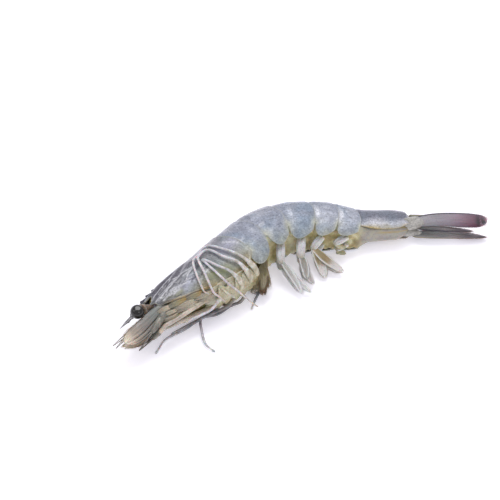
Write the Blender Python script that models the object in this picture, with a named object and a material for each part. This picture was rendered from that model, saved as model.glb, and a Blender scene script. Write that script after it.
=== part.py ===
"""A raw whiteleg shrimp, whole and in its shell, lying on its right side.

Lengths are millimetres until add_solid makes the mesh, which is in metres.
A place on the animal is (s, u, z): s runs along the body from the carapace's rear
margin (0), negative towards the head and positive towards the tail; u is towards
the back of the animal, in the plane of the floor; z is the height above the floor.
An angle on a cross-section is 0 at the back, 90 at the left flank, 180 at the belly.
"""

import math

import bmesh
import bpy
from mathutils import Vector

MM = 0.001
ORIGIN = (22.19, -23.10)  # plan position of the origin, under the middle of the box

# The body's course in plan: (s, heading in degrees, the way the tail points)
HEADING = [
    (-70, 54), (-6, 54), (4, 52), (14, 42), (25, 21),
    (37, 5), (50, -2.5), (62, 7), (80, -1.5), (112, -5.5),
]
START = (-4.6, -12.9)  # plan position of s = 0
PATH_FROM, PATH_TO, PATH_STEP = -72.0, 114.0, 0.5

# Cross-sections: (s, half depth, half width, rise of the centre towards the back)
SECTIONS = [
    (-48, 5.6, 4.2, 8.6), (-43, 7.2, 5.4, 7.8), (-36, 8.7, 7.0, 6.6), (-27, 10.0, 8.7, 4.6),
    (-15, 12.0, 9.6, 1.5), (0, 12.6, 9.4, 0.0), (12, 12.3, 9.2, 0.0), (25, 12.0, 8.8, 0.0),
    (38, 11.2, 8.2, 0.0), (50, 10.0, 7.3, 0.0), (58, 9.0, 6.3, 0.0), (70, 8.4, 5.8, 0.0),
    (80, 7.2, 5.2, 0.0),
]
BELLY_STRETCH = 1.08  # the belly side is this much deeper than the back
FLANK_SQUARENESS = 0.8  # below 1 the flanks are flatter than an ellipse
FLAT_SPOT = 0.4  # how far the right flank is pressed flat by the floor
HEAD_AXIS = 9.2  # height of the head's centre, which is stiff and straight

# Abdomen: the rear margin of the carapace and of segments 1 to 6, at mid flank
MARGIN = [0.0, 11.4, 24.5, 37.8, 47.6, 56.6, 77.0]
BACK_SWEEP = [3.0, 3.0, 3.5, 4.5, 5.0, 4.5, 1.0]  # each margin is this much nearer the head at the back
CORNER_SWEEP = 3.0  # and its lower corner is rounded forwards by this much
LOBE_ANGLE = [None, 147, 150, 152, 150, 148]  # how far down each segment's side lobe reaches
LOBE_CENTRE, LOBE_HALF_LENGTH = 0.56, 0.5  # along the segment, as shares of its length
SIDE_ANGLE = 118.0  # where a plate's side ends when it has no lobe
CORNER_ANGLE = 108.0  # inner corner between side lobe and belly
SOCKET_ANGLE, PLUG_ANGLE = 104.0, 101.5  # how far down the plain ends of a plate reach
WALL = 0.9  # thickness of the side lobes

# Rings of a segment: (share of its length, offset from the shell)
SEGMENT_STATIONS = ((0.16, -0.5), (0.3, 0.0), (0.5, 0.0), (0.7, 0.0), (0.88, 0.0), (1.0, 0.15))
LAST_STATIONS = ((0.1, -0.2), (0.2, 0.0), (0.4, 0.0), (0.6, 0.0), (0.8, 0.0), (0.95, 0.0), (1.0, -0.8))

PLUG_DEPTH, SOCKET_DEPTH = 2.2, 2.8  # how far a segment reaches under the one before it
PLUG_INSET, RIM_INSET = 0.95, 0.40  # their walls, measured in from the shell
PLUG_TAPER, PLUG_ROOT = 0.05, 0.7  # the plug is this much wider at its root, which lies this far back
FLARE = 0.15  # the carapace's rear edge stands out by this much
FRONT_INSET = -0.5  # and its front edge turns in by this much
ARC_POINTS = 17  # points of a plate's outline over the back

# How far the belly lies below the centre, as a share of the half depth
SEGMENT_BELLY, LAST_BELLY, HEAD_BELLY, NECK_BELLY = 0.60, 0.65, 0.35, 0.30

# Carapace
CARAPACE_FRONT = -43.5
CARAPACE_SIDE = [(-48, 92), (-43, 108), (-36, 128), (-27, 141), (-15, 150), (-5, 145), (0, 125)]
CARAPACE_CORNER_SWEEP = 3.8
CARAPACE_STATIONS = (0.0, 0.1, 0.22, 0.35, 0.48, 0.61, 0.74, 0.86, 0.95, 1.0)

# Underside of the head, between the flaps of the shield
THORAX_STATIONS = (-44.8, -43.5, -38, -30, -22, -14, -7, -3.5)
THORAX_ANGLES = (118, 242)
THORAX_INSET, THORAX_END_INSET = 1.4, 0.6  # from the shell, and further in at its ends
THORAX_NARROWING = 0.96

# Rostrum: a toothed blade on the midline, (s, u) of its ridge and its tip
CREST_START, ROSTRUM_TIP = -20.0, (-59.5, 14.6)
ROSTRUM_THICKNESS = 1.3
UPPER_TEETH, LOWER_TEETH = 8, 2
TOOTH_HEIGHT = 0.7
TEETH_SHARE = 0.82  # how much of the blade's length the upper teeth take
TOOTH_RAMP = 0.8  # how much of a tooth's pitch is its slope
LOWER_TEETH_START, LOWER_TOOTH_PITCH = -50.5, 3.6
RIDGE_HEIGHT, RIDGE_RUN, RIDGE_SAG = 0.9, 8.0, 1.6
RIDGE_ROOT, BLADE_DEPTH = 1.6, 2.4  # how deep the ridge is sunk in the back, and the blade's depth

# Head pieces of the left side, as (s, u, z), and their half widths as (fraction, value)
EYE_PLACE = (-51.7, 10.5, 15.0)
EYE_RADIUS = 2.8
EYESTALK = [(-44.8, 9.6, 12.2), (-46.6, 10.0, 13.2), (-48.4, 10.3, 14.0)]
ANTENNULE = [(-45.3, 8.6, 10.4), (-50, 8.8, 10.5), (-56, 9.6, 10.5), (-62, 10.6, 10.2), (-67.5, 10.8, 9.8)]
ANTENNA = [(-45.7, 3.4, 13.2), (-50.5, 3.2, 13.6), (-57, 2.0, 12.5), (-63, 1.2, 10.0)]
SCALE = [(-46.2, 5.7, 11.3), (-55, 5.3, 11.4), (-64.5, 7.2, 10.2)]
EYESTALK_WIDTH = [(0, 1.1), (0.6, 1.4), (1, 1.8)]
ANTENNULE_WIDTH = [(0, 0.8), (0.3, 1.0), (0.55, 0.8), (0.62, 0.35), (1, 0.2)]
ANTENNA_WIDTH = [(0, 1.3), (0.35, 1.5), (0.5, 1.2), (0.6, 0.45), (1, 0.3)]
SCALE_WIDTH = [(0, 1.6), (0.3, 3.0), (0.7, 3.4), (0.92, 2.2), (1, 0.7)]
SCALE_DEPTH = [(0, 0.7), (0.3, 0.5), (1, 0.3)]
SCALE_LEAN = 21.7  # degrees by which the scale's face turns towards the belly

# Limbs of the left side lie on the shell: (s, angle, height above the shell)
LEFT_LEGS = {
    1: [(-23.5, 172, 0.9), (-25.5, 176, 1.9), (-29.4, 180, 3.1),
        (-33, 184, 2.4), (-37, 184, 2.3), (-40.5, 184, 2.7)],
    2: [(-19.3, 170, 0.5), (-21.2, 157, 1.4), (-22.6, 148, 1.3), (-22.4, 163, 2.9), (-21.4, 172, 4.4)],
    3: [(-14.5, 174, 0.9), (-14.8, 160, 1.6), (-15.2, 145, 1.5), (-15.6, 127, 1.3), (-17, 107, 1.1),
        (-18, 80, 1.1), (-19.6, 112, 1.1), (-19.6, 146, 1.4), (-17.8, 170, 2.2), (-18.6, 176, 7.5),
        (-19, 178, 12)],
    4: [(-10, 172, 0.9), (-10.3, 158, 1.6), (-10.2, 142, 1.5), (-10.2, 122, 1.3), (-12, 97, 1.2),
        (-12.4, 68, 1.3), (-17.5, 74, 2.6), (-20.6, 84, 2.8), (-24.3, 119, 1.7), (-26, 150, 1.6),
        (-25.2, 168, 2.8), (-25.4, 172, 4.6)],
    5: [(-6, 168, 0.9), (-6.5, 150, 1.6), (-6.7, 133, 1.4), (-7.2, 112, 1.2), (-8.8, 84, 1.1),
        (-10.4, 56, 1.1), (-16, 62, 1.2), (-20.8, 72, 1.3), (-26, 107, 1.1), (-28.5, 138, 1.2),
        (-28, 151, 1.6)],
}
# Limbs of the right side lie on the floor under the animal: (s, u, z)
RIGHT_LEGS = {
    1: [(-22.5, -7.2, 5.8), (-24, -7.0, 3.6), (-26.5, -5.0, 1.6), (-30, -3.3, 0.9), (-36, -1.2, 0.8),
        (-43, 1, 0.8)],
    2: [(-17.5, -10.6, 6.4), (-20.5, -10.2, 4.8), (-26, -8.5, 4.7), (-31.5, -6.2, 4.8), (-36, -4.5, 4.0),
        (-40, -2.5, 2.4), (-47, 1.0, 1.0), (-54.5, -0.2, 0.7)],
    3: [(-13.5, -13.0, 5.6), (-15.5, -11.9, 3.2), (-18.5, -9.6, 2.2), (-25.5, -8.4, 2.6),
        (-31.3, -4.9, 3.0), (-36, -8.4, 2.3), (-40, -13.3, 1.4), (-40.6, -18.0, 0.7)],
    4: [(-9.5, -13.6, 5.2), (-6.5, -13.2, 1.6), (-4.5, -13.6, 0.9), (-9, -14.8, 0.9), (-14, -16.6, 0.8)],
    5: [(-5.5, -13.2, 5.2), (-3.5, -12.4, 2.2), (0, -12.2, 0.8), (5, -12.4, 0.7)],
}
LEG_WIDTH = [(0, 1.2), (0.12, 1.5), (0.22, 1.2), (0.34, 0.65), (0.8, 0.5), (1, 0.3)]
LEG_DEPTH = [(0, 0.8), (0.2, 0.7), (0.34, 0.55), (0.8, 0.5), (1, 0.3)]
MAXILLIPEDS = {
    "left": [(-26, 168, 0.3), (-32.5, 168, 0.3), (-38.5, 170, 0.9), (-45, 171, 2.0), (-52, 171, 3.2)],
    "right": [(-26, -168, 0.3), (-33, -166, 0.3), (-40, -163, 0.3), (-46, -158, 0.6), (-52.5, -160, 1.3)],
}
MAXILLIPED_WIDTH = [(0, 0.9), (0.3, 1.1), (0.6, 0.9), (1, 0.4)]

# Swimmerets: (s, u, height from the centre, stem, outer blade, inner blade), and the last
# three each as (towards the tail, towards the belly, up)
SWIMMERETS = [
    (4.0, -8.9, 1.9, (-4.0, 3.7, -2.8), (-6.0, 4.9, -3.2), (-6.5, 4.6, -1.6)),
    (17.5, -8.8, 3.2, (-5.5, 8.0, -2.5), (4.0, 14.0, -7.0), (0.5, 13.0, -6.0)),
    (30.5, -8.6, 3.0, (-2.5, 9.0, -3.0), (2.6, 9.5, -5.5), (0.4, 7.5, -4.0)),
    (40.5, -8.6, 2.6, (-4.2, 4.7, -2.7), (11.6, 8.0, -4.7), (4.4, 10.2, -5.2)),
    (51.5, -7.4, 2.4, (-5.5, 2.5, -2.0), (4.5, 0.9, -0.7), (1.5, 1.7, -0.8)),
]
STEM_WIDTH = [(0, 1.5), (0.5, 1.9), (1, 1.4)]
STEM_DEPTH = [(0, 1.1), (0.6, 1.2), (1, 0.9)]
BLADE_WIDTH = [(0, 0.7), (0.35, 1.5), (0.8, 0.9), (1, 0.25)]
BLADE_THICKNESS = [(0, 0.6), (0.4, 0.4), (1, 0.2)]
KNEE_LOWEST, OUTER_LOWEST, INNER_LOWEST = 2.4, 0.7, 1.3  # heights above the floor
RIGHT_LIFT, RIGHT_FOLD = 0.55, 0.85  # the right ones are pressed together by the floor
BLADE_OVERLAP = 0.18  # how far the blades start inside the stem

# Tail fan, as (s, u, z): paddles with half widths, then the pointed middle piece
OUTER_WIDTH = [(0, 1.7), (0.1, 2.9), (0.3, 3.9), (0.8, 3.8), (0.95, 3.0), (1, 1.6)]
INNER_WIDTH = [(0, 1.2), (0.2, 2.0), (0.6, 2.6), (0.85, 2.0), (1, 0.6)]
POINTED_OUTER_WIDTH = [(0, 1.7), (0.1, 2.8), (0.3, 3.6), (0.6, 3.3), (0.85, 1.9), (1, 0.4)]
POINTED_INNER_WIDTH = [(0, 1.0), (0.2, 1.5), (0.6, 1.9), (0.85, 1.4), (1, 0.4)]
OUTER_DEPTH = [(0, 0.9), (0.15, 0.7), (0.4, 0.45), (1, 0.3)]
INNER_DEPTH = [(0, 0.6), (1, 0.3)]
TELSON_WIDTH = [(0, 2.6), (0.3, 2.5), (0.8, 1.3), (1, 0.15)]
TELSON_DEPTH = [(0, 1.2), (0.5, 0.9), (1, 0.2)]
OUTER_LEFT = [(77.8, 0.4, 8.2), (90, 0.6, 9.9), (108.8, 1.6, 9.6)]
INNER_LEFT = [(77.8, 2.5, 6.5), (90, 2.8, 7.1), (104, 3.2, 7.2)]
OUTER_RIGHT = [(77.8, -1.2, 2.7), (93, 0.0, 2.2), (109, 0.2, 1.6)]
INNER_RIGHT = [(77.8, 1.6, 4.0), (90, 1.6, 3.7), (103, 1.9, 2.9)]
TELSON = [(77.8, 5.0, 5.2), (88, 5.0, 5.2), (98.5, 4.6, 5.2)]
RIGHT_FACE = 75.0  # degrees by which the right ones' faces turn from the back upwards

SHELL_GREY = (0.30, 0.33, 0.36)
SHELL_PALE = (0.42, 0.44, 0.42)
LIMB_PALE = (0.62, 0.58, 0.55)
MOUTH_CREAM = (0.50, 0.42, 0.28)
TAIL_MAROON = (0.16, 0.08, 0.11)
EYE_BLACK = (0.01, 0.01, 0.012)


# ---------------------------------------------------------------- geometry of the body


def smooth(x, knots, column=1):
    """The value at x on a smooth curve through the knots' column."""
    x = min(max(x, knots[0][0]), knots[-1][0])
    last = len(knots) - 2
    i = next((k for k in range(last + 1) if x <= knots[k + 1][0]), last)

    def slope(k):
        a, b = knots[max(k - 1, 0)], knots[min(k + 1, last + 1)]
        return (b[column] - a[column]) / (b[0] - a[0])

    left, right = knots[i], knots[i + 1]
    width = right[0] - left[0]
    t = (x - left[0]) / width
    return (
        (2 * t**3 - 3 * t**2 + 1) * left[column]
        + (t**3 - 2 * t**2 + t) * width * slope(i)
        + (3 * t**2 - 2 * t**3) * right[column]
        + (t**3 - t**2) * width * slope(i + 1)
    )


def trace_path():
    """Plan points of the body's centre line, every PATH_STEP along it."""
    count = round((PATH_TO - PATH_FROM) / PATH_STEP)
    points = [(0.0, 0.0)]
    for k in range(count):
        heading = math.radians(smooth(PATH_FROM + (k + 0.5) * PATH_STEP, HEADING))
        x, y = points[-1]
        points.append((x + PATH_STEP * math.cos(heading), y + PATH_STEP * math.sin(heading)))
    zero = points[round(-PATH_FROM / PATH_STEP)]
    shift = (START[0] - zero[0] - ORIGIN[0], START[1] - zero[1] - ORIGIN[1])
    return [(x + shift[0], y + shift[1]) for x, y in points]


PATH = trace_path()


def directions(s):
    """Unit vectors at s: towards the tail and towards the back."""
    heading = math.radians(smooth(s, HEADING))
    x, y = math.cos(heading), math.sin(heading)
    return Vector((x, y, 0)), Vector((-y, x, 0))


def at(s, u, z):
    """The point (s, u, z) in the part's frame."""
    k = min(max((s - PATH_FROM) / PATH_STEP, 0), len(PATH) - 1.001)
    a, b = PATH[int(k)], PATH[int(k) + 1]
    centre = Vector((*a, 0)).lerp(Vector((*b, 0)), k - int(k))
    return centre + directions(s)[1] * u + Vector((0, 0, z))


def section(s):
    """Half depth, half width, rise and height of the centre at s."""
    depth, width, rise = (smooth(s, SECTIONS, column) for column in (1, 2, 3))
    return depth, width, rise, min(HEAD_AXIS, width - FLAT_SPOT) if s > 0 else HEAD_AXIS


def shell(s, angle, offset=0.0):
    """A point on the body's surface, moved outwards by offset."""
    depth, width, rise, axis = section(s)
    c, n = math.cos(math.radians(angle)), math.sin(math.radians(angle))
    u = rise + (depth + offset) * c * (BELLY_STRETCH if c < 0 else 1)
    z = axis + (width + offset) * math.copysign(abs(n) ** FLANK_SQUARENESS, n)
    return at(s, u, max(z, 0.0, 0.05 - offset if offset < 0 else 0.0))


def spread(low, high, count):
    return [low + (high - low) * k / (count - 1) for k in range(count)]


# ---------------------------------------------------------------- meshes


def loft(rings):
    """Vertices and faces of a closed skin through the rings; a ring of one point is a tip."""
    vertices, starts, faces = [], [], []
    for ring in rings:
        starts.append(len(vertices))
        vertices += ring
    count = max(len(ring) for ring in rings)
    for k in range(len(rings) - 1):
        a, b = starts[k], starts[k + 1]
        for i in range(count):
            j = (i + 1) % count
            if len(rings[k]) == 1:
                faces.append((a, b + i, b + j))
            elif len(rings[k + 1]) == 1:
                faces.append((a + i, a + j, b))
            else:
                faces.append((a + i, a + j, b + j, b + i))
    for start, ring in ((starts[0], rings[0]), (starts[-1], rings[-1])):
        if len(ring) > 1:
            faces.append(tuple(range(start, start + count)))
    return vertices, faces


def add_solid(name, vertices, faces, colour, roughness=0.35):
    """One named object with its own material, its faces turned outwards."""
    mesh = bpy.data.meshes.new(name)
    mesh.from_pydata([v * MM for v in vertices], [], faces)
    form = bmesh.new()
    form.from_mesh(mesh)
    bmesh.ops.recalc_face_normals(form, faces=form.faces)
    form.to_mesh(mesh)
    form.free()
    mesh.shade_smooth()
    mesh.set_sharp_from_angle(angle=math.radians(40))
    material = bpy.data.materials.new(name + "_surface")
    material.use_nodes = True
    principled = material.node_tree.nodes["Principled BSDF"]
    principled.inputs["Base Color"].default_value = (*colour, 1)
    principled.inputs["Roughness"].default_value = roughness
    mesh.materials.append(material)
    obj = bpy.data.objects.new(name, mesh)
    bpy.context.scene.collection.objects.link(obj)
    return obj


def join(obj, others):
    """Fuses the others into obj with a Boolean union and removes them."""
    for other in others:
        other.hide_render = True
        union = obj.modifiers.new("union", "BOOLEAN")
        union.operation = "UNION"
        union.object = other
    graph = bpy.context.evaluated_depsgraph_get()
    fused = bpy.data.meshes.new_from_object(obj.evaluated_get(graph))
    obj.modifiers.clear()
    obj.data = fused
    for other in others:
        bpy.data.objects.remove(other)


# ---------------------------------------------------------------- shell plates


def plate_ring(place, side, offset, belly):
    """Outline of a plate with side lobes. place(angle) gives s, side is the lobes' lowest angle."""
    middle = place(90)
    depth, _, rise, axis = section(middle)
    outer = [shell(place(a), a, offset) for a in spread(-side, side, ARC_POINTS)]
    inner_side = side - 1.5
    tips = [shell(place(inner_side), a, offset - WALL) for a in (inner_side, -inner_side)]
    corners = [shell(middle, a, offset - WALL) for a in (CORNER_ANGLE, -CORNER_ANGLE)]
    bottom = at(middle, rise - belly * depth - offset, axis)
    underside = [corners[0], *belly_points(corners[0], bottom, corners[1]), corners[1]]
    return outer + [tips[0], *underside, tips[1]]


def socket_ring(place, angle, offset, belly):
    """Outline of the plain end of a plate, where it goes under its neighbour or takes it in."""
    middle = place(90)
    depth, _, rise, axis = section(middle)
    outer = [shell(place(a), a, offset) for a in spread(-angle, angle, ARC_POINTS)]
    bottom = at(middle, rise - belly * depth - offset, axis)
    ends = outer[-1], outer[0]
    near = [belly_point(ends[side], bottom, f) for side, f in ((0, 0.95), (0, 0.85), (1, 0.85), (1, 0.95))]
    return outer + [*near[:2], *belly_points(ends[0], bottom, ends[1]), *near[2:]]


def belly_point(end, bottom, fraction):
    """A point of the belly's curve, which is a parabola from its bottom (0) to an end (1)."""
    across = bottom.lerp(end, fraction)
    level = bottom.lerp(end, fraction * fraction)
    return Vector((level.x, level.y, across.z))


def belly_points(left, bottom, right):
    return [belly_point(left, bottom, 0.55), bottom, belly_point(right, bottom, 0.55)]


def margin(joint, angle):
    """s of a plate's rear margin at an angle, and so of the front of the next."""
    a = abs(angle)
    if a < 90:
        return MARGIN[joint] - BACK_SWEEP[joint] * math.cos(math.radians(a)) ** 2
    corner = CARAPACE_CORNER_SWEEP if joint == 0 else CORNER_SWEEP
    return MARGIN[joint] - corner * ((a - 90) / 60) ** 2


def rear_rings(joint, belly):
    """The rear of a plate: its lip, and the socket that takes the next plate."""
    rim = socket_ring(lambda a: margin(joint, a), SOCKET_ANGLE, -RIM_INSET, belly)
    floor = socket_ring(lambda a: margin(joint, a) - SOCKET_DEPTH, SOCKET_ANGLE, -RIM_INSET, belly)
    return [rim, floor, [socket_centre(joint, SOCKET_DEPTH)]]


def socket_centre(joint, depth):
    return at(MARGIN[joint] - depth - 0.4 * BACK_SWEEP[joint], 1.0, section(MARGIN[joint])[3])


def lobe_side(index, t):
    """Angle at which the side of segment index ends, t of the way along it."""
    reach = max(0.0, 1 - ((t - LOBE_CENTRE) / LOBE_HALF_LENGTH) ** 2)
    return SIDE_ANGLE + (LOBE_ANGLE[index] - SIDE_ANGLE) * math.sqrt(reach)


def along_segment(index, t, ahead=0.0):
    """s as a function of the angle, t of the way from the front of a segment to its rear."""
    return lambda a: margin(index - 1, a) * (1 - t) + margin(index, a) * t + ahead


def front_rings(index, belly):
    """The plug of a segment, which reaches under the plate before it."""
    return [
        [socket_centre(index - 1, PLUG_DEPTH)],
        socket_ring(along_segment(index, 0, -PLUG_DEPTH), PLUG_ANGLE, -PLUG_INSET, belly),
        socket_ring(along_segment(index, 0, PLUG_ROOT), PLUG_ANGLE, PLUG_TAPER - PLUG_INSET, belly),
    ]


def abdomen_segment(index):
    """Segment 1 to 5: a back plate with side lobes, over the muscle of the belly."""
    rings = front_rings(index, NECK_BELLY if index == 1 else SEGMENT_BELLY)
    for t, offset in SEGMENT_STATIONS:
        rings.append(plate_ring(along_segment(index, t), lobe_side(index, t), offset, SEGMENT_BELLY))
    rings += rear_rings(index, SEGMENT_BELLY)
    return add_solid(f"abdomen_{index}", *loft(rings), SHELL_GREY)


def last_segment():
    """Segment 6: a closed tapering box with no lobes, flat across its rear end."""
    rings = front_rings(6, SEGMENT_BELLY)
    for t, offset in LAST_STATIONS:
        rings.append(socket_ring(along_segment(6, t), SOCKET_ANGLE, offset, LAST_BELLY))
    return add_solid("abdomen_6", *loft(rings), SHELL_GREY)


def carapace():
    """The head shield, with its toothed rostrum."""

    def place(t):
        return lambda a: CARAPACE_FRONT * (1 - t) + margin(0, a) * t

    rings = [[at(CARAPACE_FRONT, section(CARAPACE_FRONT)[2] + 1, HEAD_AXIS)]]
    for t in CARAPACE_STATIONS:
        side = smooth(place(t)(90), CARAPACE_SIDE)
        offset = {0.0: FRONT_INSET, 1.0: FLARE}.get(t, 0.0)
        rings.append(plate_ring(place(t), side, offset, HEAD_BELLY))
    return add_solid("carapace", *loft(rings + rear_rings(0, NECK_BELLY)), SHELL_GREY)


def rostrum_height(s):
    """u of the ridge that carries the rostrum's teeth, and of its lower edge."""
    depth, _, rise, _ = section(max(s, CARAPACE_FRONT))
    t = max(0.0, (CARAPACE_FRONT - s) / (CARAPACE_FRONT - ROSTRUM_TIP[0]))
    back = rise + depth
    ridge = back + RIDGE_HEIGHT * min(1.0, (CREST_START - s) / RIDGE_RUN)
    line = ridge * (1 - t) + ROSTRUM_TIP[1] * t - RIDGE_SAG * t * (1 - t)
    return line, min(back - RIDGE_ROOT, line - BLADE_DEPTH * (1 - t))


def rostrum():
    """A flat blade whose upper edge has a row of teeth that point forwards."""
    upper, lower = [], []
    length = CREST_START - ROSTRUM_TIP[0]
    pitch = length * TEETH_SHARE / UPPER_TEETH
    for k in range(UPPER_TEETH):
        s = CREST_START - 1.0 - k * pitch
        point = s - pitch * TOOTH_RAMP
        upper.append((s, rostrum_height(s)[0]))
        upper.append((point, rostrum_height(point)[0] + TOOTH_HEIGHT))
    for s in (CREST_START, -27.0, -34.0, -41.0, -44.0, -48.0):
        lower.append((s, rostrum_height(s)[1]))
    for k in range(LOWER_TEETH):
        s = LOWER_TEETH_START - LOWER_TOOTH_PITCH * k
        point = s - LOWER_TOOTH_PITCH / 2
        lower.append((s, rostrum_height(s)[1]))
        lower.append((point, rostrum_height(point)[1] - TOOTH_HEIGHT * 0.7))
        lower.append((point - 0.4, rostrum_height(point - 0.4)[1]))
    outline = lower + [ROSTRUM_TIP] + list(reversed(upper))
    sides = []
    for sign in (-1, 1):
        ring = []
        for s, u in outline:
            taper = 1 - 0.75 * max(0.0, (CREST_START - s) / length)
            ring.append(at(s, u, HEAD_AXIS + sign * ROSTRUM_THICKNESS / 2 * taper))
        sides.append(ring)
    return add_solid("rostrum", *loft(sides), SHELL_GREY)


def thorax():
    """The underside of the head between the shield's flaps: breastplate and mouth."""
    rings = []
    for s in THORAX_STATIONS:
        depth, width, rise, axis = section(s)
        inset = THORAX_INSET
        if s in (THORAX_STATIONS[0], THORAX_STATIONS[-1]):
            inset += THORAX_END_INSET
        ring = []
        for a in spread(*THORAX_ANGLES, 9):
            c, n = math.cos(math.radians(a)), math.sin(math.radians(a))
            across = math.copysign(abs(n) ** FLANK_SQUARENESS, n) * THORAX_NARROWING
            ring.append(at(s, rise + (depth - inset) * c, axis + (width - inset) * across))
        rings.append(ring)
    return add_solid("thorax", *loft(rings), MOUTH_CREAM)


# ---------------------------------------------------------------- limbs and blades


def smooth_course(points, per_span):
    """The course through the points, each a tuple of numbers, with per_span steps between them."""
    knots = [(k, *point) for k, point in enumerate(points)]
    count = (len(points) - 1) * per_span
    columns = range(1, len(points[0]) + 1)
    return [tuple(smooth(k / per_span, knots, column) for column in columns) for k in range(count + 1)]


def on_shell(points, per_span=2):
    """Centres and outward normals of a course given as (s, angle, height above the shell)."""
    course = smooth_course(points, per_span)
    return [(shell(s, a, h), (shell(s, a, h + 1) - shell(s, a, h)).normalized()) for s, a, h in course]


def in_air(points, per_span=2, normal=(0, 0, 1)):
    """Centres and normals of a course given as (s, u, z)."""
    return [(at(*point), Vector(normal)) for point in smooth_course(points, per_span)]


def sweep(course, half_widths, half_depths, sides=6):
    """Vertices and faces of a limb along the course. The half sizes are knots (fraction, value)."""
    rings = []
    last = len(course) - 1
    for k, (centre, normal) in enumerate(course):
        along = (course[min(k + 1, last)][0] - course[max(k - 1, 0)][0]).normalized()
        across = along.cross(normal).normalized()
        up = across.cross(along)
        width, depth = smooth(k / last, half_widths), smooth(k / last, half_depths)
        ring = []
        for i in range(sides):
            a = 2 * math.pi * i / sides
            ring.append(centre + across * width * math.cos(a) + up * depth * math.sin(a))
        rings.append(ring)
    return loft(rings)


def limb(name, course, half_widths, half_depths, colour, sides=6):
    return add_solid(name, *sweep(course, half_widths, half_depths, sides), colour)


def mirrored(points):
    """The same places on the right side of the head, (s, u, z)."""
    return [(s, u, 2 * HEAD_AXIS - z) for s, u, z in points]


def head_pieces(side):
    """Eye, stalk, feelers and scale of one side."""

    def place(points):
        return points if side == "left" else mirrored(points)

    eye = bmesh.new()
    bmesh.ops.create_icosphere(eye, subdivisions=3, radius=EYE_RADIUS)
    centre = at(*place([EYE_PLACE])[0])
    points, faces = [centre + v.co for v in eye.verts], [[v.index for v in f.verts] for f in eye.faces]
    eye.free()
    add_solid(f"eye_{side}", points, faces, EYE_BLACK, 0.1)
    stalk = in_air(place(EYESTALK))
    limb(f"eyestalk_{side}", stalk, EYESTALK_WIDTH, EYESTALK_WIDTH, MOUTH_CREAM, 8)
    antennule = in_air(place(ANTENNULE))
    limb(f"antennule_{side}", antennule, ANTENNULE_WIDTH, ANTENNULE_WIDTH, LIMB_PALE)
    antenna = in_air(place(ANTENNA))
    limb(f"antenna_{side}", antenna, ANTENNA_WIDTH, ANTENNA_WIDTH, MOUTH_CREAM)
    lean = math.radians(SCALE_LEAN)
    up = math.cos(lean) if side == "left" else -math.cos(lean)
    normal = Vector((0, 0, up)) - directions(-55)[1] * math.sin(lean)
    scale = in_air(place(SCALE), 3, normal)
    limb(f"antennal_scale_{side}", scale, SCALE_WIDTH, SCALE_DEPTH, SHELL_PALE, 8)


# ---------------------------------------------------------------- swimmerets and tail


def swimmeret(number, side):
    """A swimming leg: a flat stem with two feathery blades, fused."""
    s, u, lift, stem, outer, inner = SWIMMERETS[number - 1]
    along, back = directions(s)
    height = section(s)[3] + (lift if side == "left" else -RIGHT_LIFT * lift)
    fold = 1.0 if side == "left" else RIGHT_FOLD

    def step(start, vector, lowest):
        tail, belly, fall = vector
        end = start + along * tail * fold - back * belly * fold + Vector((0, 0, fall))
        return Vector((end.x, end.y, max(end.z, lowest)))

    def straight(start, end, count):
        return [(start.lerp(end, f), Vector((0, 0, 1))) for f in spread(0, 1, count)]

    top = at(s, u, height)
    knee = step(top, stem, KNEE_LOWEST)
    start = knee.lerp(top, BLADE_OVERLAP)
    blades = []
    for name, vector, lowest in (("outer", outer, OUTER_LOWEST), ("inner", inner, INNER_LOWEST)):
        course = straight(start, step(knee, vector, lowest), 6)
        blades.append(limb(f"{name}_blade", course, BLADE_WIDTH, BLADE_THICKNESS, LIMB_PALE))
    course = straight(top, knee, 5)
    base = limb(f"swimmeret_{number}_{side}", course, STEM_WIDTH, STEM_DEPTH, LIMB_PALE)
    join(base, blades)
    return base


def tail_piece(name, points, face, widths, depths, colour):
    """A flat paddle of the tail fan; face is the angle of its flat side, 0 towards the back."""
    turn = math.radians(face)
    normal = directions(90)[1] * math.cos(turn) + Vector((0, 0, math.sin(turn)))
    return limb(name, in_air(points, 4, normal), widths, depths, colour, 8)


def tail_fan():
    tail_piece("uropod_outer_left", OUTER_LEFT, 6, OUTER_WIDTH, OUTER_DEPTH, TAIL_MAROON)
    tail_piece("uropod_inner_left", INNER_LEFT, 3, INNER_WIDTH, INNER_DEPTH, TAIL_MAROON)
    tail_piece("uropod_outer_right", OUTER_RIGHT, RIGHT_FACE, POINTED_OUTER_WIDTH, OUTER_DEPTH, TAIL_MAROON)
    tail_piece("uropod_inner_right", INNER_RIGHT, RIGHT_FACE, POINTED_INNER_WIDTH, INNER_DEPTH, TAIL_MAROON)
    tail_piece("telson", TELSON, 0, TELSON_WIDTH, TELSON_DEPTH, SHELL_GREY)


for existing in list(bpy.data.objects):
    bpy.data.objects.remove(existing)

join(carapace(), [rostrum()])
thorax()
for number in range(1, 6):
    abdomen_segment(number)
last_segment()
tail_fan()
for side in ("left", "right"):
    head_pieces(side)
    for number in range(1, 6):
        swimmeret(number, side)
for number, course in LEFT_LEGS.items():
    limb(f"walking_leg_{number}_left", on_shell(course), LEG_WIDTH, LEG_DEPTH, LIMB_PALE)
for number, course in RIGHT_LEGS.items():
    limb(f"walking_leg_{number}_right", in_air(course), LEG_DEPTH, LEG_DEPTH, LIMB_PALE)
for side, course in MAXILLIPEDS.items():
    limb(f"maxilliped_{side}", on_shell(course), MAXILLIPED_WIDTH, MAXILLIPED_WIDTH, MOUTH_CREAM)
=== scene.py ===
import functools
import math
import random

import bpy
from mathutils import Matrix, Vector, noise


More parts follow.
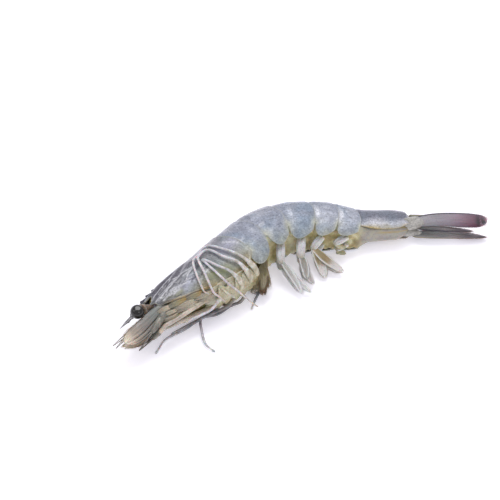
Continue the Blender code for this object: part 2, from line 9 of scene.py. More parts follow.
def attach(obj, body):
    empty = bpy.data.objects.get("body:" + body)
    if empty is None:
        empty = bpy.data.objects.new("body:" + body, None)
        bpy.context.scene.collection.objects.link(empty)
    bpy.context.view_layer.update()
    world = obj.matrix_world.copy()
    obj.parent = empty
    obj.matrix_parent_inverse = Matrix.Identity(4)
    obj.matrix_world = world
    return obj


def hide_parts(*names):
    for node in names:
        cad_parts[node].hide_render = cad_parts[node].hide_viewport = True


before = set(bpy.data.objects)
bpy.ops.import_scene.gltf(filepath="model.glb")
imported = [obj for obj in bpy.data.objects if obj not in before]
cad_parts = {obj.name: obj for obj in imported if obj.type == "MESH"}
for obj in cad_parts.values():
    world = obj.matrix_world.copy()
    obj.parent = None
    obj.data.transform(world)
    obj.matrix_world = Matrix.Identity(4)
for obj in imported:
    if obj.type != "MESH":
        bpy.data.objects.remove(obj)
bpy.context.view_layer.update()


# ---- Head shield ---------------------------------------------------------------------
# The carapace: one stiff sheet of wet shell, bent over the head like a saddle. It is chitin
# grown in one piece, grey-blue and half see-through, with grooves where muscles hold it from
# inside, a notch for each eye and a spine below the notch.

MM = 0.001

# the body's course in plan: (s, heading in degrees); s runs along the body in mm, 0 at the
# shield's rear edge, negative towards the head
HEADING = [
    (-70, 54), (-6, 54), (4, 52), (14, 42), (25, 21),
    (37, 5), (50, -2.5), (62, 7), (80, -1.5), (112, -5.5),
]
PATH_FROM, PATH_TO, PATH_STEP = -72.0, 114.0, 0.5
PLAN_START = (-26.79, 10.2)  # where s is 0

# cross-sections: (s, half depth, half width, rise of the centre towards the back)
SECTIONS = [
    (-48, 5.6, 4.2, 8.6), (-43, 7.2, 5.4, 7.8), (-36, 8.7, 7.0, 6.6), (-27, 10.0, 8.7, 4.6),
    (-15, 12.0, 9.6, 1.5), (0, 12.6, 9.4, 0.0), (12, 12.3, 9.2, 0.0), (25, 12.0, 8.8, 0.0),
    (38, 11.2, 8.2, 0.0), (50, 10.0, 7.3, 0.0), (58, 9.0, 6.3, 0.0), (70, 8.4, 5.8, 0.0),
    (80, 7.2, 5.2, 0.0),
]
BELLY_STRETCH, FLANK_SQUARENESS, FLAT_SPOT, HEAD_AXIS = 1.08, 0.8, 0.4, 9.2
FLOOR_GAP, INNER_GAP = 0.02, 0.05  # the skin, and what lies under it, stay this far off the floor
DEGREE = 0.19  # mm round the body for each degree, near the plates' lower borders

# the rear edge of the shield and of segments 1 to 6, and how far each is swept at the back
MARGIN = [0.0, 11.4, 24.5, 37.8, 47.6, 56.6, 77.0]
BACK_SWEEP = [3.0, 3.0, 3.5, 4.5, 5.0, 4.5, 1.0]
CORNER_SWEEP, SHIELD_CORNER_SWEEP = 3.0, 3.8

SHIELD_FRONT = -43.5
SHIELD_SIDE = [(-48, 92), (-43, 108), (-36, 128), (-27, 141), (-15, 150), (-5, 145), (0, 125)]
ORBIT = (46, 15, 2.4)  # angle, half width in degrees and depth in mm of the notch for the eye
SPINE = (76, 4.5, 2.2)  # the spine below it
CHEEK_SPINE = (-32.5, 80, 0.35)  # s, angle and height of the spine on the cheek
FRONT_TURN, REAR_LIP, BORDER_SWELL = 0.5, 0.08, 0.3  # how the shield's edges turn in or stand out
SHIELD_WALL, SHIELD_ROUNDING = 0.5, 0.12


def smooth(x, knots, column=1):
    """The value at x on a smooth curve through the knots' column."""
    x = min(max(x, knots[0][0]), knots[-1][0])
    last = len(knots) - 2
    i = next((k for k in range(last + 1) if x <= knots[k + 1][0]), last)

    def slope(k):
        a, b = knots[max(k - 1, 0)], knots[min(k + 1, last + 1)]
        return (b[column] - a[column]) / (b[0] - a[0])

    left, right = knots[i], knots[i + 1]
    width = right[0] - left[0]
    t = (x - left[0]) / width
    return (
        (2 * t**3 - 3 * t**2 + 1) * left[column]
        + (t**3 - 2 * t**2 + t) * width * slope(i)
        + (3 * t**2 - 2 * t**3) * right[column]
        + (t**3 - t**2) * width * slope(i + 1)
    )


def trace_path():
    """Plan points of the body's centre line."""
    points = [Vector((0, 0, 0))]
    for k in range(round((PATH_TO - PATH_FROM) / PATH_STEP)):
        heading = math.radians(smooth(PATH_FROM + (k + 0.5) * PATH_STEP, HEADING))
        points.append(points[-1] + Vector((math.cos(heading), math.sin(heading), 0)) * PATH_STEP)
    shift = Vector((*PLAN_START, 0)) - points[round(-PATH_FROM / PATH_STEP)]
    return [point + shift for point in points]


PATH = trace_path()


@functools.cache
def directions(s):
    """Unit vectors at s: towards the tail and towards the back."""
    heading = math.radians(smooth(s, HEADING))
    x, y = math.cos(heading), math.sin(heading)
    return Vector((x, y, 0)), Vector((-y, x, 0))


@functools.cache
def section(s):
    """Half depth, half width, rise and height of the centre at s."""
    depth, width, rise = (smooth(s, SECTIONS, column) for column in (1, 2, 3))
    return depth, width, rise, min(HEAD_AXIS, width - FLAT_SPOT) if s > 0 else HEAD_AXIS


def at(s, u, z):
    """The point s along the body, u towards its back and z above the floor."""
    k = min(max((s - PATH_FROM) / PATH_STEP, 0), len(PATH) - 1.001)
    centre = PATH[int(k)].lerp(PATH[int(k) + 1], k - int(k))
    return centre + directions(s)[1] * u + Vector((0, 0, z))


def shell(s, angle, offset=0.0):
    """A point of the body's skin, moved outwards. 0 is the back, 90 the upper flank, 180 the belly."""
    depth, width, rise, axis = section(s)
    cosine, sine = math.cos(math.radians(angle)), math.sin(math.radians(angle))
    u = rise + (depth + offset) * cosine * (BELLY_STRETCH if cosine < 0 else 1)
    z = axis + (width + offset) * math.copysign(abs(sine) ** FLANK_SQUARENESS, sine)
    return at(s, u, max(z, FLOOR_GAP, INNER_GAP - offset if offset < 0 else 0.0))


def margin(joint, angle):
    """s of a plate's rear edge at an angle: it sweeps forwards at the back and at the corners."""
    a = abs(angle)
    if a < 90:
        return MARGIN[joint] - BACK_SWEEP[joint] * math.cos(math.radians(a)) ** 2
    corner = SHIELD_CORNER_SWEEP if joint == 0 else CORNER_SWEEP
    return MARGIN[joint] - corner * ((a - 90) / 60) ** 2


def hill(x, centre, half_width):
    """A smooth hill, 1 at its centre."""
    return math.exp(-(((x - centre) / half_width) ** 2))


def step(x, low, high):
    """0 below low, 1 above high, smooth between."""
    t = min(max((x - low) / (high - low), 0.0), 1.0)
    return t * t * (3 - 2 * t)


def waver(point, size, amount):
    """Slow unevenness of a grown surface, in mm, with hills of the given size."""
    return noise.noise(point / size) * amount


def wrap(rule, columns, rows, **marks):
    """A flat grid whose corners are moved to rule(x, y), x and y from 0 to 1. Each mark is a
    number at every corner, kept on the mesh for its material."""
    bpy.ops.object.select_all(action="DESELECT")
    bpy.ops.mesh.primitive_grid_add(x_subdivisions=columns, y_subdivisions=rows, size=2)
    piece = bpy.context.object
    corners = [((v.co.x + 1) / 2, (v.co.y + 1) / 2) for v in piece.data.vertices]
    for name, mark in marks.items():
        layer = piece.data.attributes.new(name, "FLOAT", "POINT")
        layer.data.foreach_set("value", [mark(x, y) for x, y in corners])
    places = [value * MM for x, y in corners for value in rule(x, y)]
    piece.data.vertices.foreach_set("co", places)
    piece.data.update()
    bpy.ops.object.shade_smooth()
    return piece


def thicken(piece, thickness, rounding):
    """Gives a sheet its wall, inwards, and rounds the wall's edge."""
    wall = piece.modifiers.new("wall", "SOLIDIFY")
    wall.thickness = thickness * MM
    wall.offset = -1
    bpy.ops.object.modifier_apply(modifier="wall")
    edge = piece.modifiers.new("edge", "BEVEL")
    edge.width = rounding * MM
    edge.segments = 2
    edge.limit_method = "ANGLE"
    edge.angle_limit = math.radians(50)
    bpy.ops.object.modifier_apply(modifier="edge")
    bpy.ops.object.shade_smooth()


def dress(piece, name, material, slot, *stands_for):
    """Names the piece, gives it its finish and ties it to the body."""
    piece.name = name
    piece.data.name = name
    piece.data.materials.clear()
    piece.data.materials.append(material)
    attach(piece, "root")
    if stands_for:
        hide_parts(*stands_for)
    return piece


def linear(code):
    """A linear colour from its sRGB hex code."""
    parts = [int(code[k : k + 2], 16) / 255 for k in (1, 3, 5)]
    return (*[p / 12.92 if p <= 0.04045 else ((p + 0.055) / 1.055) ** 2.4 for p in parts], 1.0)


def add(material, kind, inputs=None, stops=None, **settings):
    """A shader node with its settings, its inputs set or linked, and a ramp's colour stops."""
    made = material.node_tree.nodes.new("ShaderNode" + kind)
    for name, value in settings.items():
        setattr(made, name, value)
    for name, value in (inputs or {}).items():
        if isinstance(value, bpy.types.NodeSocket):
            material.node_tree.links.new(value, made.inputs[name])
        else:
            made.inputs[name].default_value = value
    if stops:
        band = made.color_ramp.elements
        band.remove(band[1])
        band[0].position, band[0].color = stops[0][0], linear(stops[0][1])
        for place, colour in stops[1:]:
            band.new(place).color = linear(colour)
    return made


def finish(name, **settings):
    """A new material with its shader's own settings; returns it and the shader."""
    material = bpy.data.materials.new(name)
    material.use_nodes = True
    shader = material.node_tree.nodes["Principled BSDF"]
    for socket, value in settings.items():
        shader.inputs[socket.replace("_", " ")].default_value = value
    return material, shader


def shell_finish(name, stops, patch, patch_share, edge="#b9b8a8", strokes=()):
    """Raw chitin, wet: half see-through, so light spreads under it; pigment cells show as fine
    dark dots, and water gives a hard gloss on top. stops are the colours from the back (0) to
    the belly (1), patch is the tint of the patches, edge that of the free edge, and strokes are
    marks on the mesh with the colour that each is painted in."""
    material, skin = finish(
        name, Roughness=0.34, IOR=1.5, Subsurface_Weight=0.3, Subsurface_Scale=0.001,
        Coat_Weight=0.5, Coat_Roughness=0.08, Coat_IOR=1.33,
    )
    skin.inputs["Subsurface Radius"].default_value = (1.0, 0.9, 0.8)
    place = add(material, "TexCoord").outputs["Object"]
    down = add(material, "Attribute", attribute_name="down").outputs["Fac"]
    rim = add(material, "Attribute", attribute_name="rim").outputs["Fac"]

    # slow drift of the tone, 6.5 mm across
    drift = add(
        material, "TexNoise", {"Vector": place, "Scale": 1 / (6.5 * MM), "Detail": 3.0}
    ).outputs["Fac"]
    shift = add(material, "Math", {0: drift, 1: 0.28, 2: -0.14}, operation="MULTIPLY_ADD").outputs[0]
    level = add(material, "Math", {0: down, 1: shift}, operation="ADD").outputs[0]
    base = add(material, "ValToRGB", {"Fac": level}, stops).outputs["Color"]

    # blue-green patches where the organs show through, 1 cm across
    cloud = add(
        material, "TexNoise", {"Vector": place, "Scale": 1 / (10 * MM), "Detail": 3.0}
    ).outputs["Fac"]
    share = add(
        material, "MapRange", {"Value": cloud, 1: 0.47, 2: 0.62, 3: 0.0, 4: patch_share}
    ).outputs[0]
    base = add(material, "Mix", {0: share, 6: base, 7: linear(patch)}, data_type="RGBA").outputs[2]

    # lighter and darker blotches of 2 mm, and grains of 0.7 mm
    for width, weak, strong in ((2.2, 0.84, 1.16), (0.7, 0.72, 1.27)):
        grain = add(
            material, "TexNoise", {"Vector": place, "Scale": 1 / (width * MM), "Detail": 3.0}
        ).outputs["Fac"]
        tone = add(
            material, "MapRange", {"Value": grain, 1: 0.32, 2: 0.68, 3: weak, 4: strong}
        ).outputs[0]
        base = add(
            material, "Mix", {0: 1.0, 6: base, 7: tone}, data_type="RGBA", blend_type="MULTIPLY"
        ).outputs[2]

    # pigment cells: dots of uneven size, dense along the back and sparse below; the real ones
    # are 0.2 mm apart, and are drawn coarser, at 0.8 mm, to show
    cells = add(material, "TexVoronoi", {"Vector": place, "Scale": 1 / (0.8 * MM)})
    size = add(material, "SeparateColor", {"Color": cells.outputs["Color"]}).outputs[0]
    size = add(material, "MapRange", {"Value": size, 3: 0.14, 4: 0.46}).outputs[0]
    inside = add(material, "Math", {0: size, 1: cells.outputs["Distance"]}, operation="SUBTRACT").outputs[0]
    dot = add(material, "MapRange", {"Value": inside, 1: 0.0, 2: 0.1}).outputs[0]
    wealth = add(material, "MapRange", {"Value": level, 1: 0.05, 2: 0.75, 3: 0.75, 4: 0.25}).outputs[0]
    dot = add(material, "Math", {0: dot, 1: wealth}, operation="MULTIPLY").outputs[0]
    base = add(material, "Mix", {0: dot, 6: base, 7: linear("#45465a")}, data_type="RGBA").outputs[2]

    # painted lines and patches, broken up by the grains
    for mark, colour in strokes:
        cover = add(material, "Attribute", attribute_name=mark).outputs["Fac"]
        uneven = add(material, "MapRange", {"Value": grain, 1: 0.36, 2: 0.52, 3: 0.35, 4: 1.0}).outputs[0]
        cover = add(material, "Math", {0: cover, 1: uneven}, operation="MULTIPLY").outputs[0]
        base = add(material, "Mix", {0: cover, 6: base, 7: linear(colour)}, data_type="RGBA").outputs[2]

    # the thin free edge is pale and clear, over 1 mm
    line = add(
        material, "ValToRGB", {"Fac": rim},
        [(0.0, "#b8b8b8"), (0.3, "#8c8c8c"), (0.6, "#2c2c2c"), (1.0, "#000000")],
    ).outputs["Color"]
    base = add(material, "Mix", {0: line, 6: base, 7: linear(edge)}, data_type="RGBA").outputs[2]
    material.node_tree.links.new(base, skin.inputs["Base Color"])

    # wrinkles of 1.4 mm in the shell, and slow ripples of 3.8 mm in the water film on it
    wet = add(material, "MapRange", {"Value": cloud, 1: 0.35, 2: 0.65, 3: 0.24, 4: 0.45}).outputs[0]
    material.node_tree.links.new(wet, skin.inputs["Roughness"])
    wrinkle = add(
        material, "TexNoise", {"Vector": place, "Scale": 1 / (1.4 * MM), "Detail": 4.0}
    ).outputs["Fac"]
    bump = add(material, "Bump", {"Height": wrinkle, "Strength": 0.6, "Distance": 0.25 * MM})
    material.node_tree.links.new(bump.outputs["Normal"], skin.inputs["Normal"])
    ripple = add(
        material, "TexNoise", {"Vector": place, "Scale": 1 / (3.8 * MM), "Detail": 3.0}
    ).outputs["Fac"]
    film = add(material, "Bump", {"Height": ripple, "Strength": 0.5, "Distance": 0.5 * MM})
    material.node_tree.links.new(film.outputs["Normal"], skin.inputs["Coat Normal"])
    return material


shield_shell = shell_finish(
    "wet_chitin_head",
    [
        (0.0, "#4f4a52"), (0.18, "#605b64"), (0.3, "#7a7880"), (0.42, "#86878a"), (0.56, "#8f918f"),
        (0.68, "#97978a"), (0.78, "#a09674"), (0.86, "#a08c5c"),
    ],
    patch="#7f8f8f", patch_share=0.5, edge="#b3ae96",
    # gleam is painted highlight; shade is dark pigment, with one patch of painted shadow under the legs
    strokes=(
        ("streaks", "#bfc1c4"), ("lilac", "#b1b2c4"), ("green", "#8e9263"), ("ochre", "#9a7d40"),
        ("shade", "#3d3946"), ("gleam", "#e0e0e4"),
    ),
)


def shield_edge(angle):
    """s of the shield's front edge: notched for the eye, with a spine below the notch."""
    a = abs(angle)
    return SHIELD_FRONT + ORBIT[2] * hill(a, *ORBIT[:2]) - SPINE[2] * hill(a, *SPINE[:2])


def shield_place(x, y):
    """s and angle of a spot on the shield."""
    side = smooth(SHIELD_FRONT * (1 - x), SHIELD_SIDE)
    angle = side * (1 - 2 * y)
    return shield_edge(angle) * (1 - x) + margin(0, angle) * x, angle, side


# strokes on the shield, each (s, angle) to (s, angle) and half width in mm
GROOVES = [
    ((-43, 24), (-17, 17), 0.9), ((-42, 60), (-28, 46), 0.9), ((-33, 84), (-22, 44), 1.1),
    ((-41, 96), (-30, 88), 1.0), ((-30, 88), (-24, 108), 1.0), ((-40, 76), (-34, 70), 0.7),
]
DARK_LINES = [
    ((-44, 52), (-20, 47), 0.7), ((-44, 62), (-22, 53), 0.5), ((-43, 70), (-25, 60), 0.4),
    ((-42, 77), (-30, 66), 0.35), ((-42, 84), (-29, 73), 0.45), ((-40, 90), (-30, 80), 0.3),
    ((-42, 97), (-33, 90), 0.4), ((-39, 106), (-31, 99), 0.35), ((-43, 106), (-37, 112), 0.5),
    ((-29, 92), (-24, 84), 0.35), ((-24, 62), (-12, 50), 0.5), ((-22, 76), (-17, 66), 0.35),
    ((-43.5, 101), (-38, 108), 0.7), ((-42, 112), (-35, 117), 0.35), ((-38, 66), (-30, 60), 0.6),
]
# pale lines: painted highlights, glints of the wet shell, one of them along the shield's rear edge
PAINTED_GLINT_LINES = [
    ((-31, 69), (-22, 76), 0.35), ((-43, 66), (-30, 57), 0.3), ((-38, 99), (-34, 104), 0.6),
    ((-42, 89), (-36, 82), 0.3), ((-36, 93), (-32, 96), 0.5), ((-34, 80), (-27, 70), 0.3),
    ((-40, 80), (-33, 75), 0.25), ((-41, 101), (-37, 95), 0.4), ((-28, 82), (-23, 79), 0.4),
    ((-4.2, 70), (-1.4, 92), 0.6),
]
LILAC_PATCHES = [((-32.5, 108), (-27, 100), 2.2), ((-9, 88), (-2, 80), 3.0)]
GREEN_PATCHES = [
    ((-36.5, 111), (-34, 109), 1.2), ((-41, 104), (-38, 107), 1.0), ((-21, 118), (-15, 122), 2.4),
]

# more wrinkles, and wet glints painted as highlights, scattered over the cheek: the lines that they
# join, how many and how wide; each is 1.6 to 4.2 mm long
scatter = random.Random(5)
for lines, count, half_width in ((DARK_LINES, 36, 0.3), (PAINTED_GLINT_LINES, 20, 0.24)):
    for _ in range(count):
        s, angle, length = scatter.uniform(-43, -22), scatter.uniform(56, 108), scatter.uniform(1.6, 4.2)
        end = (s + length, angle + length * scatter.uniform(-4.5, 2.0))
        lines.append(((s, angle), end, half_width))


def reach(s, angle, start, end):
    """Distance in mm of a spot on the shield from a stroke, and how far along it that is."""
    scale = section(s)[0] * math.pi / 180  # mm for each degree round the body
    way = Vector((end[0] - start[0], (end[1] - start[1]) * scale))
    spot = Vector((s - start[0], (abs(angle) - start[1]) * scale))
    t = min(max(spot.dot(way) / way.length_squared, 0.0), 1.0)
    return (spot - way * t).length, t


def groove_depth(s, angle):
    """How far the shield is drawn in at a place, by its grooves."""
    total = 0.0
    for start, end, half_width in GROOVES:
        distance, t = reach(s, angle, start, end)
        total += 0.5 * (1 - 0.6 * abs(2 * t - 1) ** 3) * hill(distance, 0, half_width)
    return total


def painted(lines, x, y):
    """How strongly the lines cover a spot of the shield."""
    s, angle, _ = shield_place(x, y)
    return max(hill(reach(s, angle, start, end)[0], 0, half) for start, end, half in lines)


def streaked(x, y):
    """Pale streaks that run along the side of the head."""
    s, angle, _ = shield_place(x, y)
    a = abs(angle)
    coarse = noise.noise(Vector((s * 0.22, a * 0.2, 3.1)))
    fine = noise.noise(Vector((s * 0.6, a * 0.5, 7.7)))
    cheek = step(-s, 20, 32) * step(a, 48, 62) * step(a, 128, 108)
    return 0.35 * step(coarse + 0.6 * fine, 0.12, 0.35) * cheek


def ochre_border(x, y):
    """The ochre band just inside the shield's lower border, beside the mouth."""
    s, angle, side = shield_place(x, y)
    return 0.85 * step(-s, 20, 27) * step((side - abs(angle)) * DEGREE, 2.2, 0.6) * step(-s, 44, 40)


def crest_pigment_and_painted_shadow(x, y):
    """The dark pigment of the head: on its back, and in clouds and lines on the cheek; and a painted
    shadow on the rear of the shield's flank, where the folded legs lie over it."""
    s, angle, _ = shield_place(x, y)
    a = abs(angle)
    ragged = 0.6 + noise.noise(Vector((s * 0.4, angle * 0.25, 0)))
    cloud = step(noise.noise(Vector((s * 0.3, angle * 0.12, 9))), -0.15, 0.25)
    return max(
        0.95 * step(-s, 12, 28) * step(a, 74, 54) * ragged,
        0.55 * step(-s, 25, 34) * cloud,
        0.5 * step(-s, 22, 27) * step(a, 94, 78),
        # painted shadow on the rear of the shield's flank, under the folded legs
        0.3 * step(-s, 5, 8) * step(-s, 18, 14) * hill(a, 90, 16),
        0.85 * painted(DARK_LINES, x, y),
    )


def shield_rule(x, y):
    s, angle, side = shield_place(x, y)
    a = abs(angle)
    point = shell(s, angle)
    offset = -FRONT_TURN * step(x, 0.06, 0.0) + REAR_LIP * step(x, 0.96, 1.0)
    offset += BORDER_SWELL * hill((side - a) * DEGREE, 0.7, 0.6)
    offset += CHEEK_SPINE[2] * hill(s, CHEEK_SPINE[0], 1.3) * hill(a, CHEEK_SPINE[1], 6)
    offset += waver(point, 9, 0.35) + waver(point, 3.2, 0.1)
    return shell(s, angle, offset - groove_depth(s, angle))


def shield_rim(x, y):
    """How far a spot is inside the shield's free edge: up to 1 it is pale."""
    _, angle, side = shield_place(x, y)
    return min(x * 60, (1 - x) * 60, (side - abs(angle)) * 0.25)


shield = wrap(
    shield_rule, columns=190, rows=260,
    rim=shield_rim, down=lambda x, y: abs(shield_place(x, y)[1]) / 180,
    streaks=streaked, ochre=ochre_border, shade=crest_pigment_and_painted_shadow,
    lilac=lambda x, y: 0.8 * painted(LILAC_PATCHES, x, y),
    gleam=lambda x, y: 0.7 * painted(PAINTED_GLINT_LINES, x, y),
    green=lambda x, y: 0.8 * painted(GREEN_PATCHES, x, y),
)
thicken(shield, SHIELD_WALL, SHIELD_ROUNDING)
dress(shield, "head_shield", shield_shell, "shell", "carapace")


# ---- Rostrum -------------------------------------------------------------------------
# The toothed blade on the midline, which grows out of the shield's ridge between the eyes:
# solid chitin, lens-shaped across, with eight teeth above and two below that point forwards.

CREST_START, ROSTRUM_TIP = -20.0, (-59.5, 14.6)
ROSTRUM_THICKNESS, BLADE_DEPTH, ROOT_DEPTH = 1.3, 2.4, 1.6
CREST_RISE, CREST_RAMP = 0.9, 8  # the ridge rises by the first over a length of the second
BLADE_DIP = 0.4  # how far the free blade dips below a straight line
UPPER_TEETH, LOWER_TEETH, TOOTH_HEIGHT, LOWER_TOOTH_HEIGHT = 8, 2, 0.8, 0.35
TEETH_LENGTH = 30.0  # how much of the blade the upper teeth take
LOWER_TEETH_START, LOWER_TOOTH_PITCH = -49.5, 2.6
TOOTH_PEAK = 0.8  # where in its pitch a tooth is highest
NO_EDGE = 5.0  # a piece with no free edge, as the distance from one


def blade_height(s):
    """u of the blade's ridge and of its lower edge, without the teeth."""
    depth, _, rise, _ = section(max(s, SHIELD_FRONT))
    t = max(0.0, (SHIELD_FRONT - s) / (SHIELD_FRONT - ROSTRUM_TIP[0]))
    back = rise + depth
    ridge = back + CREST_RISE * min(1.0, (CREST_START - s) / CREST_RAMP)
    line = ridge * (1 - t) + ROSTRUM_TIP[1] * t - 4 * BLADE_DIP * t * (1 - t)
    return line, min(back - ROOT_DEPTH, line - BLADE_DEPTH * (1 - t))


def tooth(s, start, pitch, count):
    """Height share of a row of teeth that lean forwards: each rises slowly and drops at once."""
    place = (start - s) / pitch
    if not 0 < place < count:
        return 0.0
    rise = place % 1
    return (rise / TOOTH_PEAK) ** 1.6 if rise < TOOTH_PEAK else (1 - rise) / (1 - TOOTH_PEAK)


def blade_rule(x, y):
    s = CREST_START + (ROSTRUM_TIP[0] - CREST_START) * x
    top, low = blade_height(s)
    top += TOOTH_HEIGHT * tooth(s, CREST_START - 1, TEETH_LENGTH / UPPER_TEETH, UPPER_TEETH)
    low -= LOWER_TOOTH_HEIGHT * tooth(s, LOWER_TEETH_START, LOWER_TOOTH_PITCH, LOWER_TEETH)
    turn = 2 * math.pi * y
    height = (top - low) / 2 * min(1.0, x * 40, (1 - x) * 8)
    half = ROSTRUM_THICKNESS / 2 * (1 - 0.75 * x) * min(1.0, x * 40, (1 - x) * 12)
    lens = math.copysign(abs(math.sin(turn)) ** 1.3, math.sin(turn))
    return at(s, (top + low) / 2 + height * math.cos(turn), HEAD_AXIS + half * lens)


def weld(piece):
    """Closes the seam and the ends of a rolled sheet and turns its faces outwards."""
    bpy.ops.object.mode_set(mode="EDIT")
    bpy.ops.mesh.select_all(action="SELECT")
    bpy.ops.mesh.remove_doubles(threshold=0.000004)
    bpy.ops.mesh.normals_make_consistent(inside=False)
    bpy.ops.object.mode_set(mode="OBJECT")
    bpy.ops.object.shade_smooth()


def blade_gleam(x, y):
    """A painted highlight along the blade's side, between its dark edges."""
    return 0.9 * step(x, 0.74, 0.82) * hill(math.cos(2 * math.pi * y), 0.05, 0.4)


blade_shell = shell_finish(
    "wet_chitin_blade", [(0.0, "#2b2830"), (0.5, "#38343c"), (1.0, "#3c383c")],
    # the gleam stroke is a painted highlight
    patch="#4c4f5c", patch_share=0.3, strokes=(("gleam", "#c9c6c8"),),
)
blade = wrap(
    blade_rule, columns=240, rows=28, rim=lambda x, y: NO_EDGE,
    down=lambda x, y: 0.5 - 0.5 * math.cos(2 * math.pi * y), gleam=blade_gleam,
)
weld(blade)
dress(blade, "rostrum", blade_shell, "shell", "carapace")


# ---- Tail plates ---------------------------------------------------------------------
# Segments 1 to 5 of the tail: hoops of thin shell, each tucked under the one before it, with
# a rounded lobe hanging down each side. They are wet chitin like the shield, paler and bluer.

LOBE_ANGLE = [None, 158, 151, 152, 150, 148]  # how far down each lobe reaches
LOBE_CENTRE = [None, 0.4, 0.56, 0.56, 0.56, 0.56]
LOBE_HALF_LENGTH, SIDE_ANGLE = 0.5, 118
TUCK = 0.2  # share of a plate that lies under the one before it
RIDGE = [None, 0.0, 0.0, 0.15, 0.45, 0.55]  # height of the keel along the back
UNDER_LOBE = 0.5  # share of its depth that a lobe has where the animal lies on it
PLATE_TUCK, PLATE_LIP, LOBE_SWELL, CREASE = 0.8, 0.05, 0.28, 0.3  # heights of a plate's relief
PLATE_WALL, PLATE_ROUNDING = 0.45, 0.1

plate_shell = shell_finish(
    "wet_chitin_tail",
    [
        (0.0, "#746d77"), (0.1, "#84818c"), (0.25, "#9194a0"), (0.45, "#959aa8"), (0.6, "#989eab"),
        (0.7, "#9aa1a8"), (0.84, "#9c9f93"),
    ],
    patch="#8095a8", patch_share=0.5, edge="#bdbba4",
    strokes=(("green", "#cbcbb0"), ("gleam", "#f0f2f8"), ("shade", "#666b78")),
)
# pale gleams: plate, share of its length, angle, half sizes in those two, and strength
GLEAMS = [
    (1, 0.05, 86, 0.06, 14, 0.7), (1, 0.75, 92, 0.10, 12, 0.35), (2, 0.35, 70, 0.3, 9, 0.25),
    (3, 0.25, 88, 0.1, 16, 0.5), (4, 0.1, 86, 0.12, 20, 1.0), (4, 0.5, 74, 0.3, 6, 0.35),
    (5, 0.1, 88, 0.14, 22, 1.0), (5, 0.45, 78, 0.25, 8, 0.4), (4, 0.5, 100, 0.5, 30, 0.3),
    (5, 0.5, 100, 0.5, 35, 0.3),
]


def lobe_side(index, x):
    """The angle at which a plate's side ends, at a share of its length."""
    roundness = math.sqrt(max(0.0, 1 - ((x - LOBE_CENTRE[index]) / LOBE_HALF_LENGTH) ** 2))
    return SIDE_ANGLE + (LOBE_ANGLE[index] - SIDE_ANGLE) * roundness


def plate_place(index, x, y):
    """Share of the length, s, angle and side of a spot on a plate."""
    t = x * (1 + TUCK) - TUCK
    side = lobe_side(index, t)
    if y > 0.5:
        side = SIDE_ANGLE + (side - SIDE_ANGLE) * UNDER_LOBE
    angle = side * (1 - 2 * y)
    return t, margin(index - 1, angle) * (1 - t) + margin(index, angle) * t, angle, side


def plate_rule(index, x, y):
    t, s, angle, _ = plate_place(index, x, y)
    a = abs(angle)
    point = shell(s, angle)
    offset = -PLATE_TUCK * step(t, 0.3, -0.05) + PLATE_LIP * step(t, 0.85, 1.0)
    offset += RIDGE[index] * hill(a, 0, 7) * step(t, 0.0, 0.5)
    offset += LOBE_SWELL * hill(a, 112, 12) * hill(t, 0.6, 0.28)
    offset -= CREASE * hill((a - 96) * DEGREE, 0, 0.9) * hill(t, 0.35, 0.3)  # above the lobe
    offset += waver(point, 8, 0.3) + waver(point, 2.6, 0.08)
    return shell(s, angle, offset)


def plate_rim(index, x, y):
    """How far a spot is inside the plate's free edge: up to 1 it is pale."""
    t, _, angle, side = plate_place(index, x, y)
    return min((1 - t) * 20, (side - abs(angle)) * 0.3)


def plate_green(index, x, y):
    """Pale green flesh that shows through the thin shell beside the notches between lobes."""
    t, _, angle, _ = plate_place(index, x, y)
    return 0.85 * hill(abs(angle), 117, 14) * max(hill(t, 0.0, 0.17), 0.85 * hill(t, 1.0, 0.12))


def plate_gleam(index, x, y):
    """Light caught on the humps of a plate."""
    t, _, angle, _ = plate_place(index, x, y)
    return max(
        strength * hill(t, along, half_along) * hill(abs(angle), around, half_around)
        for plate, along, around, half_along, half_around, strength in GLEAMS if plate == index
    )


def plate_shade(index, x, y):
    """The dark line just inside a plate's free edge, and darker mottling along the flank."""
    t, s, angle, side = plate_place(index, x, y)
    line = hill(min((1 - t) * 12, (side - abs(angle)) * DEGREE), 0.75, 0.22) * step(abs(angle), 50, 80)
    mottling = step(noise.noise(Vector((s * 0.35, angle * 0.08, index))), 0.1, 0.5)
    return max(0.25 * line, 0.35 * mottling)


for index in range(1, 6):
    plate = wrap(
        functools.partial(plate_rule, index), columns=56, rows=170,
        rim=functools.partial(plate_rim, index),
        down=lambda x, y, index=index: abs(plate_place(index, x, y)[2]) / 180,
        green=functools.partial(plate_green, index), gleam=functools.partial(plate_gleam, index),
        shade=functools.partial(plate_shade, index),
    )
    thicken(plate, PLATE_WALL, PLATE_ROUNDING)
    dress(plate, f"tail_plate_{index}", plate_shell, "shell", f"abdomen_{index}")


# ---- Sixth segment -------------------------------------------------------------------
# The long last segment: its plate covers the back and flanks and ends in a curved edge above
# the belly, and it tapers to the hinge of the tail fan. Same shell, with a keel on the back.

LAST_SIDE = [(0, 112), (0.25, 122), (0.6, 127), (0.85, 121), (1, 104)]
LAST_UNDER_SIDE = 96  # on the floor side, where the belly covers the rest
LAST_TUCK = 0.12  # share of it that lies under the fifth
LAST_DEGREE = 0.14  # mm round it for each degree
FRONT_TUCK, HINGE_TURN, KEEL, FURROW, LAST_BORDER = 1.0, 0.9, 0.5, 0.22, 0.2  # heights of its relief
LAST_WALL, LAST_ROUNDING = 0.4, 0.1

# the paler lilac band just off the back's midline, beside the keel, is a painted highlight
last_shell = shell_finish(
    "wet_chitin_last",
    [
        (0.0, "#8f8993"), (0.1, "#a39fa9"), (0.2, "#9d9aa6"), (0.29, "#6b6a77"), (0.46, "#6d6e7a"),
        (0.54, "#9c9da7"), (0.61, "#c2c2c7"), (0.72, "#ab9e73"),
    ],
    patch="#7f8d9a", patch_share=0.4, edge="#b39a5a",
)


